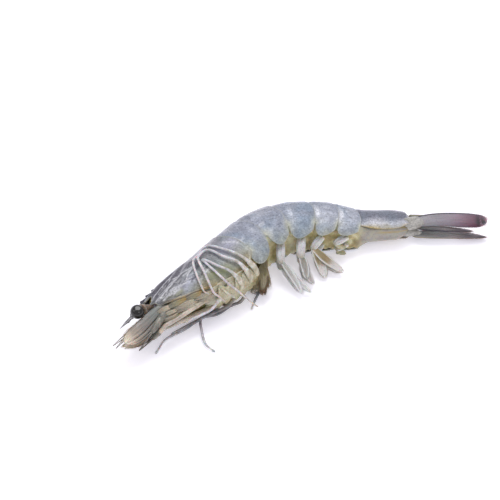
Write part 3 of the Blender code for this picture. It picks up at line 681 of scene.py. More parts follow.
def last_place(x, y):
    """Share of the length, s, angle and side of a spot on the sixth plate."""
    t = x * (1 + LAST_TUCK) - LAST_TUCK
    side = smooth(t, LAST_SIDE) if y <= 0.5 else LAST_UNDER_SIDE
    angle = side * (1 - 2 * y)
    return t, margin(5, angle) * (1 - t) + margin(6, angle) * t, angle, side


def last_rule(x, y):
    t, s, angle, side = last_place(x, y)
    a = abs(angle)
    offset = -FRONT_TUCK * step(t, 0.14, -0.06) - HINGE_TURN * step(t, 0.93, 1.0)
    offset += KEEL * hill(a, 0, 8) * step(t, 0.0, 0.2) * step(t, 1.0, 0.85)
    offset -= FURROW * hill((a - 38) * LAST_DEGREE, 0, 0.7) * step(t, 0.1, 0.3)  # beside the keel
    offset += LAST_BORDER * hill((side - a) * LAST_DEGREE, 0.4, 0.5)
    offset += waver(shell(s, angle), 8, 0.25)
    return shell(s, angle, offset)


def last_rim(x, y):
    """How far a spot is inside the plate's free edge: up to 1 it is pale."""
    t, _, angle, side = last_place(x, y)
    return min((1 - t) * 20, (side - abs(angle)) * LAST_DEGREE)


last = wrap(
    last_rule, columns=90, rows=150, rim=last_rim, down=lambda x, y: abs(last_place(x, y)[2]) / 180,
)
thicken(last, LAST_WALL, LAST_ROUNDING)
dress(last, "tail_plate_6", last_shell, "shell", "abdomen_6")


# ---- Flesh ---------------------------------------------------------------------------
# The body under the shell, seen at the belly between the lobes and in the gaps of the plates:
# a soft tube of muscle under a thin wet skin, ribbed under segments 1 to 5, and smooth and
# tight, like a plate itself, under the sixth.

# how far down the belly reaches, as a share of the half depth
BELLY = [(-46, 0.85), (-30, 1.0), (-8, 0.98), (0, 0.72), (8, 0.7), (50, 0.7), (57, 0.67), (79, 0.62)]
BELLY_FLAT = 0.7  # below this share of its depth the belly flattens
FLESH_FROM, FLESH_TO = -44.6, 77.2
FLESH_INSET = 1.5
RIB_HEIGHT, RIB_TURN = 0.25, 1.9  # the ribs' height, and radians of their wave for each mm
UNDER_SAG = 0.45  # on the floor side it sags by this share, into the lobes that it lies on

# raw muscle under a thin wet skin: soft and half see-through, cream and olive in turns, and
# greyer with fine dark specks where it is tight
flesh_skin, flesh_shader = finish(
    "wet_muscle", Roughness=0.4, IOR=1.4, Subsurface_Weight=0.4, Subsurface_Scale=0.0015,
    Coat_Weight=0.5, Coat_Roughness=0.1,
)
place = add(flesh_skin, "TexCoord").outputs["Object"]
tight = add(flesh_skin, "Attribute", attribute_name="tight").outputs["Fac"]
mottle = add(flesh_skin, "TexNoise", {"Vector": place, "Scale": 1 / (3 * MM), "Detail": 6.0}).outputs["Fac"]
soft_tone = add(
    flesh_skin, "ValToRGB", {"Fac": mottle},
    [(0.3, "#8b7d4e"), (0.45, "#a89a66"), (0.58, "#c2b886"), (0.75, "#d4cfb2")],
).outputs["Color"]
tight_tone = add(
    flesh_skin, "ValToRGB", {"Fac": mottle},
    [(0.3, "#8e8a84"), (0.5, "#9c988e"), (0.7, "#aaa38a")],
).outputs["Color"]
tone = add(flesh_skin, "Mix", {0: tight, 6: soft_tone, 7: tight_tone}, data_type="RGBA").outputs[2]
speck = add(flesh_skin, "TexVoronoi", {"Vector": place, "Scale": 1 / (0.8 * MM)}).outputs["Distance"]
speck = add(flesh_skin, "MapRange", {"Value": speck, 1: 0.34, 2: 0.2, 3: 0.0, 4: 0.35}).outputs[0]
tone = add(flesh_skin, "Mix", {0: speck, 6: tone, 7: linear("#5a564c")}, data_type="RGBA").outputs[2]
yellow = add(flesh_skin, "Attribute", attribute_name="yellow").outputs["Fac"]
tone = add(flesh_skin, "Mix", {0: yellow, 6: tone, 7: linear("#a08a4a")}, data_type="RGBA").outputs[2]
notch = add(flesh_skin, "Attribute", attribute_name="notch").outputs["Fac"]
tone = add(flesh_skin, "Mix", {0: notch, 6: tone, 7: linear("#dedfc8")}, data_type="RGBA").outputs[2]
flesh_skin.node_tree.links.new(tone, flesh_shader.inputs["Base Color"])
bump = add(flesh_skin, "Bump", {"Height": mottle, "Strength": 0.4, "Distance": 0.4 * MM}).outputs["Normal"]
flesh_skin.node_tree.links.new(bump, flesh_shader.inputs["Normal"])


def flesh_place(x, y):
    """s and angle of a spot on the flesh."""
    return FLESH_FROM + (FLESH_TO - FLESH_FROM) * x, 360 * y - 180


def flesh_rule(x, y):
    s, angle = flesh_place(x, y)
    depth, width, rise, axis = section(s)
    cosine, sine = math.cos(math.radians(angle)), math.sin(math.radians(angle))
    end = math.sqrt(min(1.0, x * 30, (1 - x) * 22))  # rounds both ends
    tight = step(s, 54, 60)
    loose = 1 - tight

    # it lies inside the shell, nearer to it in the notches, at the breast and on the floor side
    rib = math.sin(s * RIB_TURN) * step(s, 0, 4) * step(s, 58, 54)
    inset = FLESH_INSET + RIB_HEIGHT * rib - 0.8 * tight
    inset -= 0.5 * hill(abs(angle), 118, 10) * step(s, 4, 10) * loose
    inset -= 0.7 * step(-s, 4, 9) * step(abs(angle), 130, 150)
    inset -= 0.9 * step(-sine, 0.1, 0.4) * step(-cosine, 0.2, 0.5) * step(s, -2, 3) * loose

    u = (depth - inset) * cosine * end * (1 + 0.06 * step(-s, 4, 9) if cosine < 0 else 1)
    lowest = -smooth(s, BELLY) * depth * end * (1 + UNDER_SAG * max(-sine, 0.0) * step(s, 0, 6) * loose)
    if u < lowest * BELLY_FLAT:
        over = (lowest * BELLY_FLAT - u) / (abs(lowest) * (1 - BELLY_FLAT) + 0.01)
        u = lowest * (BELLY_FLAT + (1 - BELLY_FLAT) * math.tanh(over))
    squareness = FLANK_SQUARENESS
    if cosine < 0 and sine < 0:
        u += (lowest * abs(cosine) ** 1.5 - u) * tight
    if sine < 0:
        squareness += 0.2 * tight
    z = axis + (width - inset) * end * math.copysign(abs(sine) ** squareness, sine)
    return at(s, rise + u, max(z, 0.4))


def yellow_line(x, y):
    """The yellow lines under the sixth plate: one at its border, one along the belly."""
    s, angle = flesh_place(x, y)
    a = abs(angle)
    return 0.8 * step(s, 62, 74) * hill(a, 122, 5) + 0.75 * step(s, 60, 66) * hill(a, 150, 6)


def notch_light(x, y):
    """The pale skin in the notches between the lobes, and a pale stretch of the belly."""
    s, angle = flesh_place(x, y)
    pale = 0.3 * hill(s, 27, 6) * step(abs(angle), 120, 135)
    return max(pale, 0.85 * hill(abs(angle), 120, 16) * step(s, 2, 6) * step(s, 58, 54))


flesh = wrap(
    flesh_rule, columns=260, rows=96,
    tight=lambda x, y: step(flesh_place(x, y)[0], 54, 58), yellow=yellow_line, notch=notch_light,
)
weld(flesh)
dress(flesh, "flesh", flesh_skin, "mouthparts", "thorax")


# ---- Tail fan ------------------------------------------------------------------------
# Four paddles and the pointed telson between them: stiff flat blades of wet chitin with two
# raised ribs, grey at the hinge and wine-red at the tip, fringed with short bristles. The
# left pair is spread upright, the right pair is folded under by the floor.


def through_air(knots, normal):
    """A course through (s, u, z) knots: a share of its length gives a place and the normal of
    the blade's face there."""
    table = [(k, *knot) for k, knot in enumerate(knots)]
    normal = Vector(normal)

    def course(x):
        return at(*(smooth(x * (len(knots) - 1), table, column) for column in (1, 2, 3))), normal

    return course


def frame_at(course, x):
    """Place on a course, and the unit vectors along it, across it and up."""
    centre, normal = course(x)
    along = (course(min(x + 0.02, 1))[0] - course(max(x - 0.02, 0))[0]).normalized()
    across = along.cross(normal).normalized()
    return centre, along, across, across.cross(along)


def roll(course, width, depth, columns, rows, over=0.0, relief=None, **marks):
    """A closed limb or blade along a course. width and depth give its half sizes in mm at a
    share of its length, over lengthens both ends, relief raises a spot of its upper face."""

    @functools.cache
    def ring(x):
        centre, along, across, up = frame_at(course, x)
        return centre + along * over * (2 * x - 1), across * width(x), up * depth(x), up

    def rule(x, y):
        centre, across, high, up = ring(x)
        cosine, sine = math.cos(2 * math.pi * y), math.sin(2 * math.pi * y)
        extra = relief(x, cosine) * math.sqrt(sine) if relief and sine > 0 else 0.0
        return centre + across * cosine + high * sine + up * extra

    piece = wrap(rule, columns, rows, **marks)
    weld(piece)
    return piece


def tapered(knots, tip=0.1, base=0.05):
    """Half sizes from (share, value) knots, drawn to a round point at both ends."""

    def value(x):
        near = min(1.0, x / base) if base else 1.0
        far = min(1.0, (1 - x) / tip) if tip else 1.0
        return smooth(x, knots) * math.sqrt(max(0.0, 1 - (1 - near) ** 2)) * math.sqrt(
            max(0.0, 1 - (1 - far) ** 2)
        )

    return value


HAIR_DROOP = 0.06  # how far a hair's tip hangs down, as a share of its length
# the two rings of a hair below its tip: shares of its length, thickness and droop
HAIR_RINGS = ((0.0, 1.0, 0.0), (0.55, 0.7, 0.35))


def bristles(roots, radius):
    """One mesh of fine three-sided hairs. Each root is (place, direction with length in mm)."""
    places, faces = [], []
    for root, way in roots:
        side = way.cross(Vector((0.3, 0.2, 1))).normalized() * radius
        other = way.cross(side).normalized() * radius
        first = len(places)
        droop = Vector((0, 0, -HAIR_DROOP)) * way.length
        for share, thin, sink in HAIR_RINGS:
            for corner in range(3):
                turn = 2 * math.pi * corner / 3
                spread = (side * math.cos(turn) + other * math.sin(turn)) * thin
                places.append(root + way * share + spread + droop * sink)
        places.append(root + way + droop)
        for corner in range(3):
            after = (corner + 1) % 3
            faces.append((first + corner, first + after, first + 3 + after, first + 3 + corner))
            faces.append((first + 3 + corner, first + 3 + after, first + 6))
        faces.append((first + 2, first + 1, first))
    mesh = bpy.data.meshes.new("bristles")
    mesh.from_pydata([place * MM for place in places], [], faces)
    mesh.update()
    piece = bpy.data.objects.new("bristles", mesh)
    bpy.context.scene.collection.objects.link(piece)
    bpy.ops.object.select_all(action="DESELECT")
    piece.select_set(True)
    bpy.context.view_layer.objects.active = piece
    weld(piece)
    return piece


FRINGE_END, FRINGE_DEPTH = 0.995, 0.92  # shares of the blade's length and half width


def fringe(course, width, start, count, length, lean, radius):
    """Bristles along both edges of a blade, from a share of its length to its tip. They lean
    outwards by an angle, and less near the tip."""
    roots = []
    for k in range(count):
        x = start + (FRINGE_END - start) * k / (count - 1)
        for side in (-1, 1):
            centre, along, across, up = frame_at(course, x)
            turn = lean * (1 - 0.75 * step(x, 0.8, 1.0)) + random.uniform(-0.12, 0.12)
            way = along * math.cos(turn) + across * side * math.sin(turn) + up * random.uniform(-0.15, 0.15)
            long = length(x) * random.uniform(0.8, 1.1)
            roots.append((centre + across * side * width(x) * FRINGE_DEPTH, way * long))
    return bristles(roots, radius)


random.seed(7)

# half sizes of the paddles, each (share of the length, mm)
OUTER_WIDTH = [(0, 1.7), (0.1, 2.9), (0.3, 3.8), (0.55, 4.2), (0.8, 4.4), (0.93, 3.8), (1, 3.0)]
INNER_WIDTH = [(0, 1.2), (0.2, 2.0), (0.6, 2.6), (0.85, 2.1), (1, 1.4)]
OUTER_DEPTH = [(0, 0.9), (0.15, 0.7), (0.4, 0.45), (1, 0.3)]
INNER_DEPTH = [(0, 0.6), (1, 0.3)]
RIGHT_FACE = math.radians(75)
TOWARDS_BACK = directions(90)[1]
RIGHT_UP = TOWARDS_BACK * math.cos(RIGHT_FACE) + Vector((0, 0, math.sin(RIGHT_FACE)))


def plain_finish(name, colour, **settings):
    """A finish of one even colour, for what is too thin to show any pattern."""
    return finish(name, IOR=1.5, Base_Color=linear(colour), **settings)[0]


# stiff hairs of chitin, glossy and a little clear: rosy on the fan, and straw elsewhere
rosy_bristle = plain_finish(
    "chitin_bristle", "#b9a2a4", Roughness=0.35, Subsurface_Weight=0.2, Subsurface_Scale=0.0005,
)
straw_bristle = plain_finish(
    "chitin_bristle_tan", "#b3a488", Roughness=0.35, Subsurface_Weight=0.2, Subsurface_Scale=0.0005,
)

# the largest paddle's length and half width, and the streaks on it, in mm
PADDLE_SIZE = (30.8, 4.2)
STREAK_LENGTH, STREAK_WIDTH = 8.75, 0.1875


def paddle_finish(name, stops, edge, border_from=0.86, clear=0.0, mark=None):
    """Wet chitin or cuticle of flat blades: streaked along its length, dotted with pigment, and
    with an edge of another colour from a share of its half width on. stops are the colours from
    the root (0) to the tip (1), clear lets light through, and mark is the colour of a dark mark."""
    material, skin = finish(
        name, Roughness=0.32, IOR=1.5, Subsurface_Weight=0.3, Subsurface_Scale=0.0008,
        Coat_Weight=0.5, Coat_Roughness=0.09, Coat_IOR=1.33, Transmission_Weight=clear,
    )
    place = add(material, "TexCoord").outputs["Object"]
    share = add(material, "Attribute", attribute_name="share").outputs["Fac"]
    across = add(material, "Attribute", attribute_name="across").outputs["Fac"]

    # streaks, long along the blade and fine across it: as wide as given on the largest paddle,
    # and in proportion on the smaller blades
    streak_place = add(material, "CombineXYZ", {"X": share, "Y": across}).outputs[0]
    streak_place = add(
        material, "VectorMath",
        {0: streak_place, 1: (PADDLE_SIZE[0] / STREAK_LENGTH, PADDLE_SIZE[1] / STREAK_WIDTH, 1.0)},
        operation="MULTIPLY",
    ).outputs[0]
    streak = add(material, "TexNoise", {"Vector": streak_place, "Scale": 1.0, "Detail": 6.0}).outputs["Fac"]
    shift = add(material, "Math", {0: streak, 1: 0.3, 2: -0.15}, operation="MULTIPLY_ADD").outputs[0]
    level = add(material, "Math", {0: share, 1: shift}, operation="ADD").outputs[0]
    base = add(material, "ValToRGB", {"Fac": level}, stops).outputs["Color"]
    tone = add(material, "MapRange", {"Value": streak, 1: 0.32, 2: 0.68, 3: 0.62, 4: 1.4}).outputs[0]
    base = add(
        material, "Mix", {0: 1.0, 6: base, 7: tone}, data_type="RGBA", blend_type="MULTIPLY"
    ).outputs[2]

    # the edge, the mark and the pigment cells, drawn coarser than real at 0.7 mm
    border = add(material, "Math", {0: across}, operation="ABSOLUTE").outputs[0]
    border = add(
        material, "MapRange", {"Value": border, 1: border_from, 2: border_from + 0.1, 4: 0.75}
    ).outputs[0]
    base = add(material, "Mix", {0: border, 6: base, 7: linear(edge)}, data_type="RGBA").outputs[2]
    if mark:
        cover = add(material, "Attribute", attribute_name="mark").outputs["Fac"]
        base = add(material, "Mix", {0: cover, 6: base, 7: linear(mark)}, data_type="RGBA").outputs[2]
    cells = add(material, "TexVoronoi", {"Vector": place, "Scale": 1 / (0.7 * MM)})
    dot = add(
        material, "MapRange", {"Value": cells.outputs["Distance"], 1: 0.34, 2: 0.2, 4: 0.4}
    ).outputs[0]
    base = add(material, "Mix", {0: dot, 6: base, 7: linear("#4a3f4c")}, data_type="RGBA").outputs[2]
    material.node_tree.links.new(base, skin.inputs["Base Color"])
    bump = add(material, "Bump", {"Height": streak, "Strength": 0.5, "Distance": 0.25 * MM})
    material.node_tree.links.new(bump.outputs["Normal"], skin.inputs["Normal"])
    return material


outer_shell = paddle_finish(
    "wet_chitin_paddle",
    [
        (0.0, "#b0aea8"), (0.16, "#a3a1a3"), (0.42, "#99949a"), (0.58, "#948a92"), (0.7, "#8a7580"),
        (0.84, "#6f4c5a"), (0.9, "#5d3747"), (0.95, "#7a5563"), (1.0, "#c0a2ac"),
    ],
    edge="#4b4650", mark="#12040a",
)
inner_shell = paddle_finish(
    "wet_chitin_inner_paddle",
    [
        (0.0, "#7b7b7b"), (0.25, "#979693"), (0.55, "#b3b0b0"), (0.75, "#8d8385"), (0.9, "#655962"),
        (1.0, "#453a44"),
    ],
    edge="#7d754f",
)


def ribs(x, c):
    """The raised ribs of a paddle: one down the middle, and one near its outer edge."""
    fade = step(x, 0.02, 0.2) * step(x, 0.98, 0.7)
    return fade * (0.3 * hill(c, 0.05, 0.09) + 0.25 * hill(c, -0.62, 0.08) - 0.12 * hill(c, 0.45, 0.2))


def share_of(x, y):
    """Share of a rolled piece's length."""
    return x


def across_of(x, y):
    """Place across a rolled piece, from -1 to 1."""
    return math.cos(2 * math.pi * y)


def tip_mark(x, y):
    """The dark crescent, with a pale line in it, near the tip of the largest paddle."""
    bent = x + 0.025 * across_of(x, y)
    crescent = 3.0 * hill(bent, 0.935, 0.04) - 3.4 * hill(bent, 0.928, 0.009)
    return min(1.0, max(0.0, crescent)) * hill(across_of(x, y), 0, 0.95)


POINTED_OUTER_WIDTH = [(0, 1.7), (0.1, 2.8), (0.3, 3.6), (0.6, 3.3), (0.85, 1.9), (1, 0.5)]
POINTED_INNER_WIDTH = [(0, 1.0), (0.2, 1.5), (0.6, 1.9), (0.85, 1.4), (1, 0.5)]

# a vein is thick chitin, which looks dark and glossy
vein_cuticle = plain_finish("dark_chitin_vein", "#4a4550", Roughness=0.35, Coat_Weight=0.4)
VEIN_WIDTH = [(0, 0.2), (0.6, 0.26), (1, 0.16)]
VEINED = ("paddle_outer_left", "paddle_inner_right")

# each paddle: knots of (s, u, z), upper side, half widths, half depths, finish, node
for name, knots, up, widths, depths, skin, node in (
    ("paddle_outer_left", [(77.8, 0.4, 8.2), (90, 0.6, 9.8), (108.6, 1.6, 9.2)],
     (TOWARDS_BACK.x, TOWARDS_BACK.y, 0.1), OUTER_WIDTH, OUTER_DEPTH, outer_shell, "uropod_outer_left"),
    ("paddle_inner_left", [(77.8, 2.5, 6.5), (90, 2.8, 7.1), (104, 3.2, 7.2)],
     (TOWARDS_BACK.x, TOWARDS_BACK.y, 0.05), INNER_WIDTH, INNER_DEPTH, inner_shell, "uropod_inner_left"),
    ("paddle_outer_right", [(77.8, -1.2, 2.7), (93, 0.0, 2.2), (108.8, 0.2, 1.6)],
     RIGHT_UP, POINTED_OUTER_WIDTH, OUTER_DEPTH, inner_shell, "uropod_outer_right"),
    ("paddle_inner_right", [(77.8, 1.6, 4.0), (90, 1.6, 3.7), (103, 1.9, 2.9)],
     RIGHT_UP, POINTED_INNER_WIDTH, INNER_DEPTH, inner_shell, "uropod_inner_right"),
):
    course = through_air(knots, up)
    width = tapered(widths, tip=0.1)
    paddle = roll(
        course, width, tapered(depths, tip=0.05), columns=90, rows=36, relief=ribs,
        share=share_of, across=across_of, mark=tip_mark,
    )
    dress(paddle, name, skin, "tail_fan", node)
    hairs = fringe(
        course, width, start=0.6, count=120, length=lambda x: 0.5 + 0.9 * x, lean=0.6, radius=0.05
    )
    dress(hairs, f"{name}_fringe", rosy_bristle, "tail_fan")
    if name in VEINED:
        # the stiff dark vein along its upper edge
        high = 1 if frame_at(course, 0.5)[2].z > 0 else -1

        def vein(x, course=course, width=width, high=high):
            spot = 0.12 + 0.76 * x
            centre, _, across, up = frame_at(course, spot)
            return centre + across * high * width(spot) * 0.97, up

        thin = tapered(VEIN_WIDTH)
        line = roll(vein, thin, thin, columns=50, rows=8, share=share_of)
        dress(line, f"{name}_vein", vein_cuticle, "tail_fan")

TELSON = [(76.6, 5.0, 5.2), (88, 5.0, 5.2), (98.5, 4.6, 5.2)]
TELSON_WIDTH = [(0, 2.7), (0.3, 2.6), (0.8, 1.4), (1, 0.3)]
TELSON_DEPTH = [(0, 1.3), (0.5, 0.9), (1, 0.25)]


def telson_groove(x, c):
    """The telson is grooved down its middle, between two blunt ridges."""
    ridges = 0.25 * hill(c, 0.42, 0.2) + 0.25 * hill(c, -0.42, 0.2)
    return ridges - 0.35 * hill(c, 0, 0.22) * step(x, 0.1, 0.3)


telson = roll(
    through_air(TELSON, TOWARDS_BACK), tapered(TELSON_WIDTH, tip=0.03, base=0.04),
    tapered(TELSON_DEPTH, tip=0.03, base=0.04), columns=80, rows=36, relief=telson_groove,
    share=share_of, across=across_of,
)
dress(telson, "telson_spike", inner_shell, "shell", "telson")

# the stout knuckles that the paddles hinge on, of thick pale chitin
knuckle_shell = shell_finish(
    "wet_chitin_knuckle", [(0.0, "#a3a19b"), (0.75, "#a9a7a0"), (1.0, "#adaaa1")],
    patch="#9c9da6", patch_share=0.3, edge="#b5b09c",
)
# each knuckle: knots of (s, u, z), upper side, half width
for name, knots, up, half in (
    ("hinge_left", [(73.6, -0.2, 7.2), (78.0, 0.0, 8.3), (83.4, 0.4, 9.1)], (0, 1, 0.1), 3.3),
    ("hinge_right", [(73.6, -0.6, 3.6), (77.8, -0.6, 3.3), (82.4, -0.2, 3.0)], (0, 0.45, 0.85), 2.4),
    ("hinge_middle", [(73.6, 0.4, 5.4), (77.5, 0.2, 5.7), (82, 0.6, 5.9)], (0, 0.7, 0.6), 2.5),
):
    knuckle = roll(
        through_air(knots, up),
        tapered([(0, half * 0.95), (0.5, half), (1, half * 0.95)], tip=0.4, base=0.2),
        tapered([(0, 1.7), (0.5, 1.6), (1, 0.9)], tip=0.4, base=0.2), columns=40, rows=28,
        relief=lambda x, c: 0.3 * hill(c, 0.3, 0.15) * step(x, 0.9, 0.4) - 0.2 * hill(c, -0.2, 0.2),
        rim=lambda x, y: NO_EDGE, down=lambda x, y: 0.75 + 0.2 * x,
    )
    dress(knuckle, name, knuckle_shell, "tail_fan")


# ---- Eyes ----------------------------------------------------------------------------
# Two balls of black cornea, each set in the flared end of a short movable stalk of brownish
# cuticle. The cornea is smooth and wet, with facets too fine to see.

EYE_PLACE, EYE_RADIUS = (-51.7, 10.5, 15.0), 2.8
EYE_TOP = (0.054, -0.186, 0.98)  # which way a ball's sunken face looks
# how deep a ball sits in its stalk and is sunk on its face, and how much flatter it is there
SEAT_DEPTH, SEAT_FLATNESS, SUNK_FROM, SUNK_FLATNESS = 1.2, 0.55, 0.88, 0.7
EYESTALK = [(-43.6, 9.3, 11.6), (-46.6, 10.0, 13.2), (-49.6, 10.3, 14.3)]
STALK_WIDTH = [(0, 1.2), (0.5, 1.4), (0.85, 2.3), (1, 2.5)]

# the wet cornea is black and mirrors the lamp above it
cornea, cornea_shader = finish(
    "wet_cornea", Roughness=0.42, IOR=1.33, Specular_IOR_Level=0.1, Coat_Weight=1.0,
    Coat_Roughness=0.12, Coat_IOR=1.5,
)
place = add(cornea, "TexCoord").outputs["Object"]
glint = add(cornea, "TexNoise", {"Vector": place, "Scale": 1 / (2 * MM), "Detail": 3.0}).outputs["Fac"]
tone = add(
    cornea, "ValToRGB", {"Fac": glint}, [(0.35, "#080706"), (0.6, "#15110f"), (0.8, "#30261f")]
).outputs["Color"]
cornea.node_tree.links.new(tone, cornea_shader.inputs["Base Color"])
# facets: the real ones are 0.04 mm, and are drawn coarser, at 0.25 mm
facets = add(cornea, "TexVoronoi", {"Vector": place, "Scale": 1 / (0.25 * MM)}).outputs["Distance"]
bump = add(cornea, "Bump", {"Height": facets, "Strength": 0.25, "Distance": 0.05 * MM}).outputs["Normal"]
cornea.node_tree.links.new(bump, cornea_shader.inputs["Normal"])


def limb_finish(name, stops, speck, wealth):
    """Thin wet cuticle of the limbs: half see-through, clouded every 2 mm, and dotted with
    specks, drawn coarser than real at 0.7 mm. stops are the colours from the body (0) to the
    tip (1), and wealth is how strongly the specks show."""
    material, skin = finish(
        name, Roughness=0.34, IOR=1.5, Subsurface_Weight=0.35, Subsurface_Scale=0.0008,
        Coat_Weight=0.45, Coat_Roughness=0.09, Coat_IOR=1.33,
    )
    place = add(material, "TexCoord").outputs["Object"]
    share = add(material, "Attribute", attribute_name="share").outputs["Fac"]
    cloud = add(
        material, "TexNoise", {"Vector": place, "Scale": 1 / (2 * MM), "Detail": 5.0}
    ).outputs["Fac"]
    shift = add(material, "Math", {0: cloud, 1: 0.5, 2: -0.25}, operation="MULTIPLY_ADD").outputs[0]
    level = add(material, "Math", {0: share, 1: shift}, operation="ADD").outputs[0]
    base = add(material, "ValToRGB", {"Fac": level}, stops).outputs["Color"]
    tone = add(material, "MapRange", {"Value": cloud, 1: 0.35, 2: 0.65, 3: 0.78, 4: 1.2}).outputs[0]
    base = add(
        material, "Mix", {0: 1.0, 6: base, 7: tone}, data_type="RGBA", blend_type="MULTIPLY"
    ).outputs[2]
    cells = add(material, "TexVoronoi", {"Vector": place, "Scale": 1 / (0.7 * MM)})
    dot = add(
        material, "MapRange", {"Value": cells.outputs["Distance"], 1: 0.36, 2: 0.2, 4: wealth}
    ).outputs[0]
    base = add(material, "Mix", {0: dot, 6: base, 7: linear(speck)}, data_type="RGBA").outputs[2]
    material.node_tree.links.new(base, skin.inputs["Base Color"])
    bump = add(material, "Bump", {"Height": cloud, "Strength": 0.5, "Distance": 0.2 * MM})
    material.node_tree.links.new(bump.outputs["Normal"], skin.inputs["Normal"])
    return material


stalk_cuticle = limb_finish(
    "wet_cuticle_stalk", [(0.0, "#5f544f"), (0.5, "#7c6c5e"), (1.0, "#8d7d68")],
    speck="#3c343a", wealth=0.5,
)


def on_side(points, side):
    """(s, u, z) places on the left or, mirrored in the head's middle, on the right."""
    return points if side == "left" else [(s, u, 2 * HEAD_AXIS - z) for s, u, z in points]


for side in ("left", "right"):
    centre = at(*on_side([EYE_PLACE], side)[0])
    bpy.ops.object.select_all(action="DESELECT")
    bpy.ops.mesh.primitive_uv_sphere_add(
        segments=64, ring_count=40, radius=EYE_RADIUS * MM, location=centre * MM
    )
    bpy.ops.object.transform_apply(location=True, rotation=True, scale=True)
    ball = bpy.context.object
    gaze = (centre - at(*on_side(EYESTALK, side)[1])).normalized()
    top = Vector((*EYE_TOP[:2], EYE_TOP[2] if side == "left" else -EYE_TOP[2])).normalized()
    for vertex in ball.data.vertices:
        seated = (centre - vertex.co / MM).dot(gaze) - SEAT_DEPTH
        vertex.co += gaze * max(seated, 0.0) * SEAT_FLATNESS * MM
        sunk = (vertex.co / MM - centre).dot(top) - EYE_RADIUS * SUNK_FROM
        vertex.co -= top * max(sunk, 0.0) * SUNK_FLATNESS * MM
    bpy.ops.object.shade_smooth()
    dress(ball, f"eye_ball_{side}", cornea, "eye", f"eye_{side}")
    stalk = roll(
        through_air(on_side(EYESTALK, side), (0, 0, 1)), tapered(STALK_WIDTH, tip=0.12, base=0.1),
        tapered([(share, half * 0.9) for share, half in STALK_WIDTH], tip=0.12, base=0.1),
        columns=40, rows=28, share=share_of,
    )
    dress(stalk, f"eye_stalk_{side}", stalk_cuticle, "mouthparts", f"eyestalk_{side}")

# the ring between the stalks, which they both grow from, in the shield's notch
BROW = [(-38.5, 8.6, HEAD_AXIS), (-42.5, 9.3, HEAD_AXIS), (-46.3, 10.0, HEAD_AXIS)]
BROW_WIDTH, BROW_DEPTH = [(0, 2.3), (0.6, 2.4), (1, 1.8)], [(0, 4.2), (0.6, 4.0), (1, 3.0)]

brow_cuticle = limb_finish(
    "wet_cuticle_brow", [(0.0, "#77707a"), (0.5, "#93888f"), (1.0, "#857a80")],
    speck="#4a434e", wealth=0.5,
)
brow = roll(
    through_air(BROW, (0, 0, 1)), tapered(BROW_WIDTH, tip=0.25, base=0.1),
    tapered(BROW_DEPTH, tip=0.25, base=0.1), columns=40, rows=32,
    relief=lambda x, c: 0.3 * hill(c, 0.2, 0.2) - 0.3 * hill(c, -0.3, 0.2), share=share_of,
)
dress(brow, "eye_brow", brow_cuticle, "mouthparts")


# ---- Feelers -------------------------------------------------------------------------
# Each side has an antennule, three stout joints with two short banded whips, and an antenna,
# a stout jointed base with one whip, of which the first stretch lies by the head. Wet cuticle.

ANTENNULE = [(-44.0, 8.2, 10.6), (-50, 8.8, 10.5), (-56, 9.4, 10.4), (-62, 9.8, 9.9), (-67.5, 9.9, 9.3)]
ANTENNA = [(-43.5, 3.4, 12.0), (-49.5, 2.4, 11.6), (-56, 1.4, 10.8), (-63, 0.9, 9.2)]
STEM_WIDTH = [(0, 1.3), (0.3, 1.25), (0.55, 0.9), (1, 0.5)]
STEM_LENGTH = 0.58  # share of the antennule that its three joints take
WHIP_WIDTH = [(0, 0.3), (1, 0.1)]
WHIP_SPREAD, WHIP_BANDS = (-0.45, 0.25), 9
BASE_WIDTH = [(0, 1.9), (0.35, 1.5), (0.5, 1.1), (0.6, 0.45), (1, 0.25)]

feeler_cuticle = limb_finish(
    "wet_cuticle_feeler", [(0.0, "#6f6b62"), (0.3, "#8a877b"), (0.6, "#77736a"), (1.0, "#5c564f")],
    speck="#45413f", wealth=0.4,
)


def join(pieces):
    """Joins pieces into the first of them."""
    for piece in pieces:
        piece.select_set(True)
    bpy.context.view_layer.objects.active = pieces[0]
    bpy.ops.object.join()
    return bpy.context.object


def chain(course, joints, width, depth, swell, slack=0.35):
    """The jointed pieces of a limb as one mesh: each is a closed tube, thicker at its far end,
    that reaches a little into the next. joints are shares of the whole course."""
    pieces = []
    for start, end in zip(joints, joints[1:]):
        length = end - start

        def part(x, start=start, length=length):
            return course(start + length * x)

        def size(knots, start=start, length=length):
            return lambda x: smooth(start + length * x, knots) * (
                1 - swell * 0.5 + swell * step(x, 0.55, 1.0)
            ) * math.sqrt(max(0.0, 1 - (1 - min(1.0, x / 0.07, (1 - x) / 0.07)) ** 2))

        pieces.append(roll(
            part, size(width), size(depth), columns=26, rows=14, over=slack,
            share=lambda x, y, start=start, length=length: start + length * x,
        ))
    return join(pieces)


for side in ("left", "right"):
    knots = on_side(ANTENNULE, side)
    course = through_air(knots, (0, 0, 1))
    stem = chain(
        lambda x, course=course: course(x * STEM_LENGTH), [0, 0.4, 0.7, 1], STEM_WIDTH, STEM_WIDTH,
        swell=0.3,
    )
    pieces = [stem]
    for spread in WHIP_SPREAD:
        whip = [(s, u + spread * k, z + spread * 0.5 * k) for k, (s, u, z) in enumerate(knots[2:])]
        thin = tapered(WHIP_WIDTH, tip=0.05)
        pieces.append(roll(
            through_air(whip, (0, 0, 1)), thin, thin, columns=40, rows=8,
            share=lambda x, y: (x * WHIP_BANDS) % 1,
        ))
    dress(join(pieces), f"antennule_feeler_{side}", feeler_cuticle, "limb", f"antennule_{side}")

    course = through_air(on_side(ANTENNA, side), (0, 0, 1))
    antenna = chain(course, [0, 0.2, 0.38, 0.56, 1], BASE_WIDTH, BASE_WIDTH, swell=0.1)
    dress(antenna, f"antenna_feeler_{side}", feeler_cuticle, "mouthparts", f"antenna_{side}")


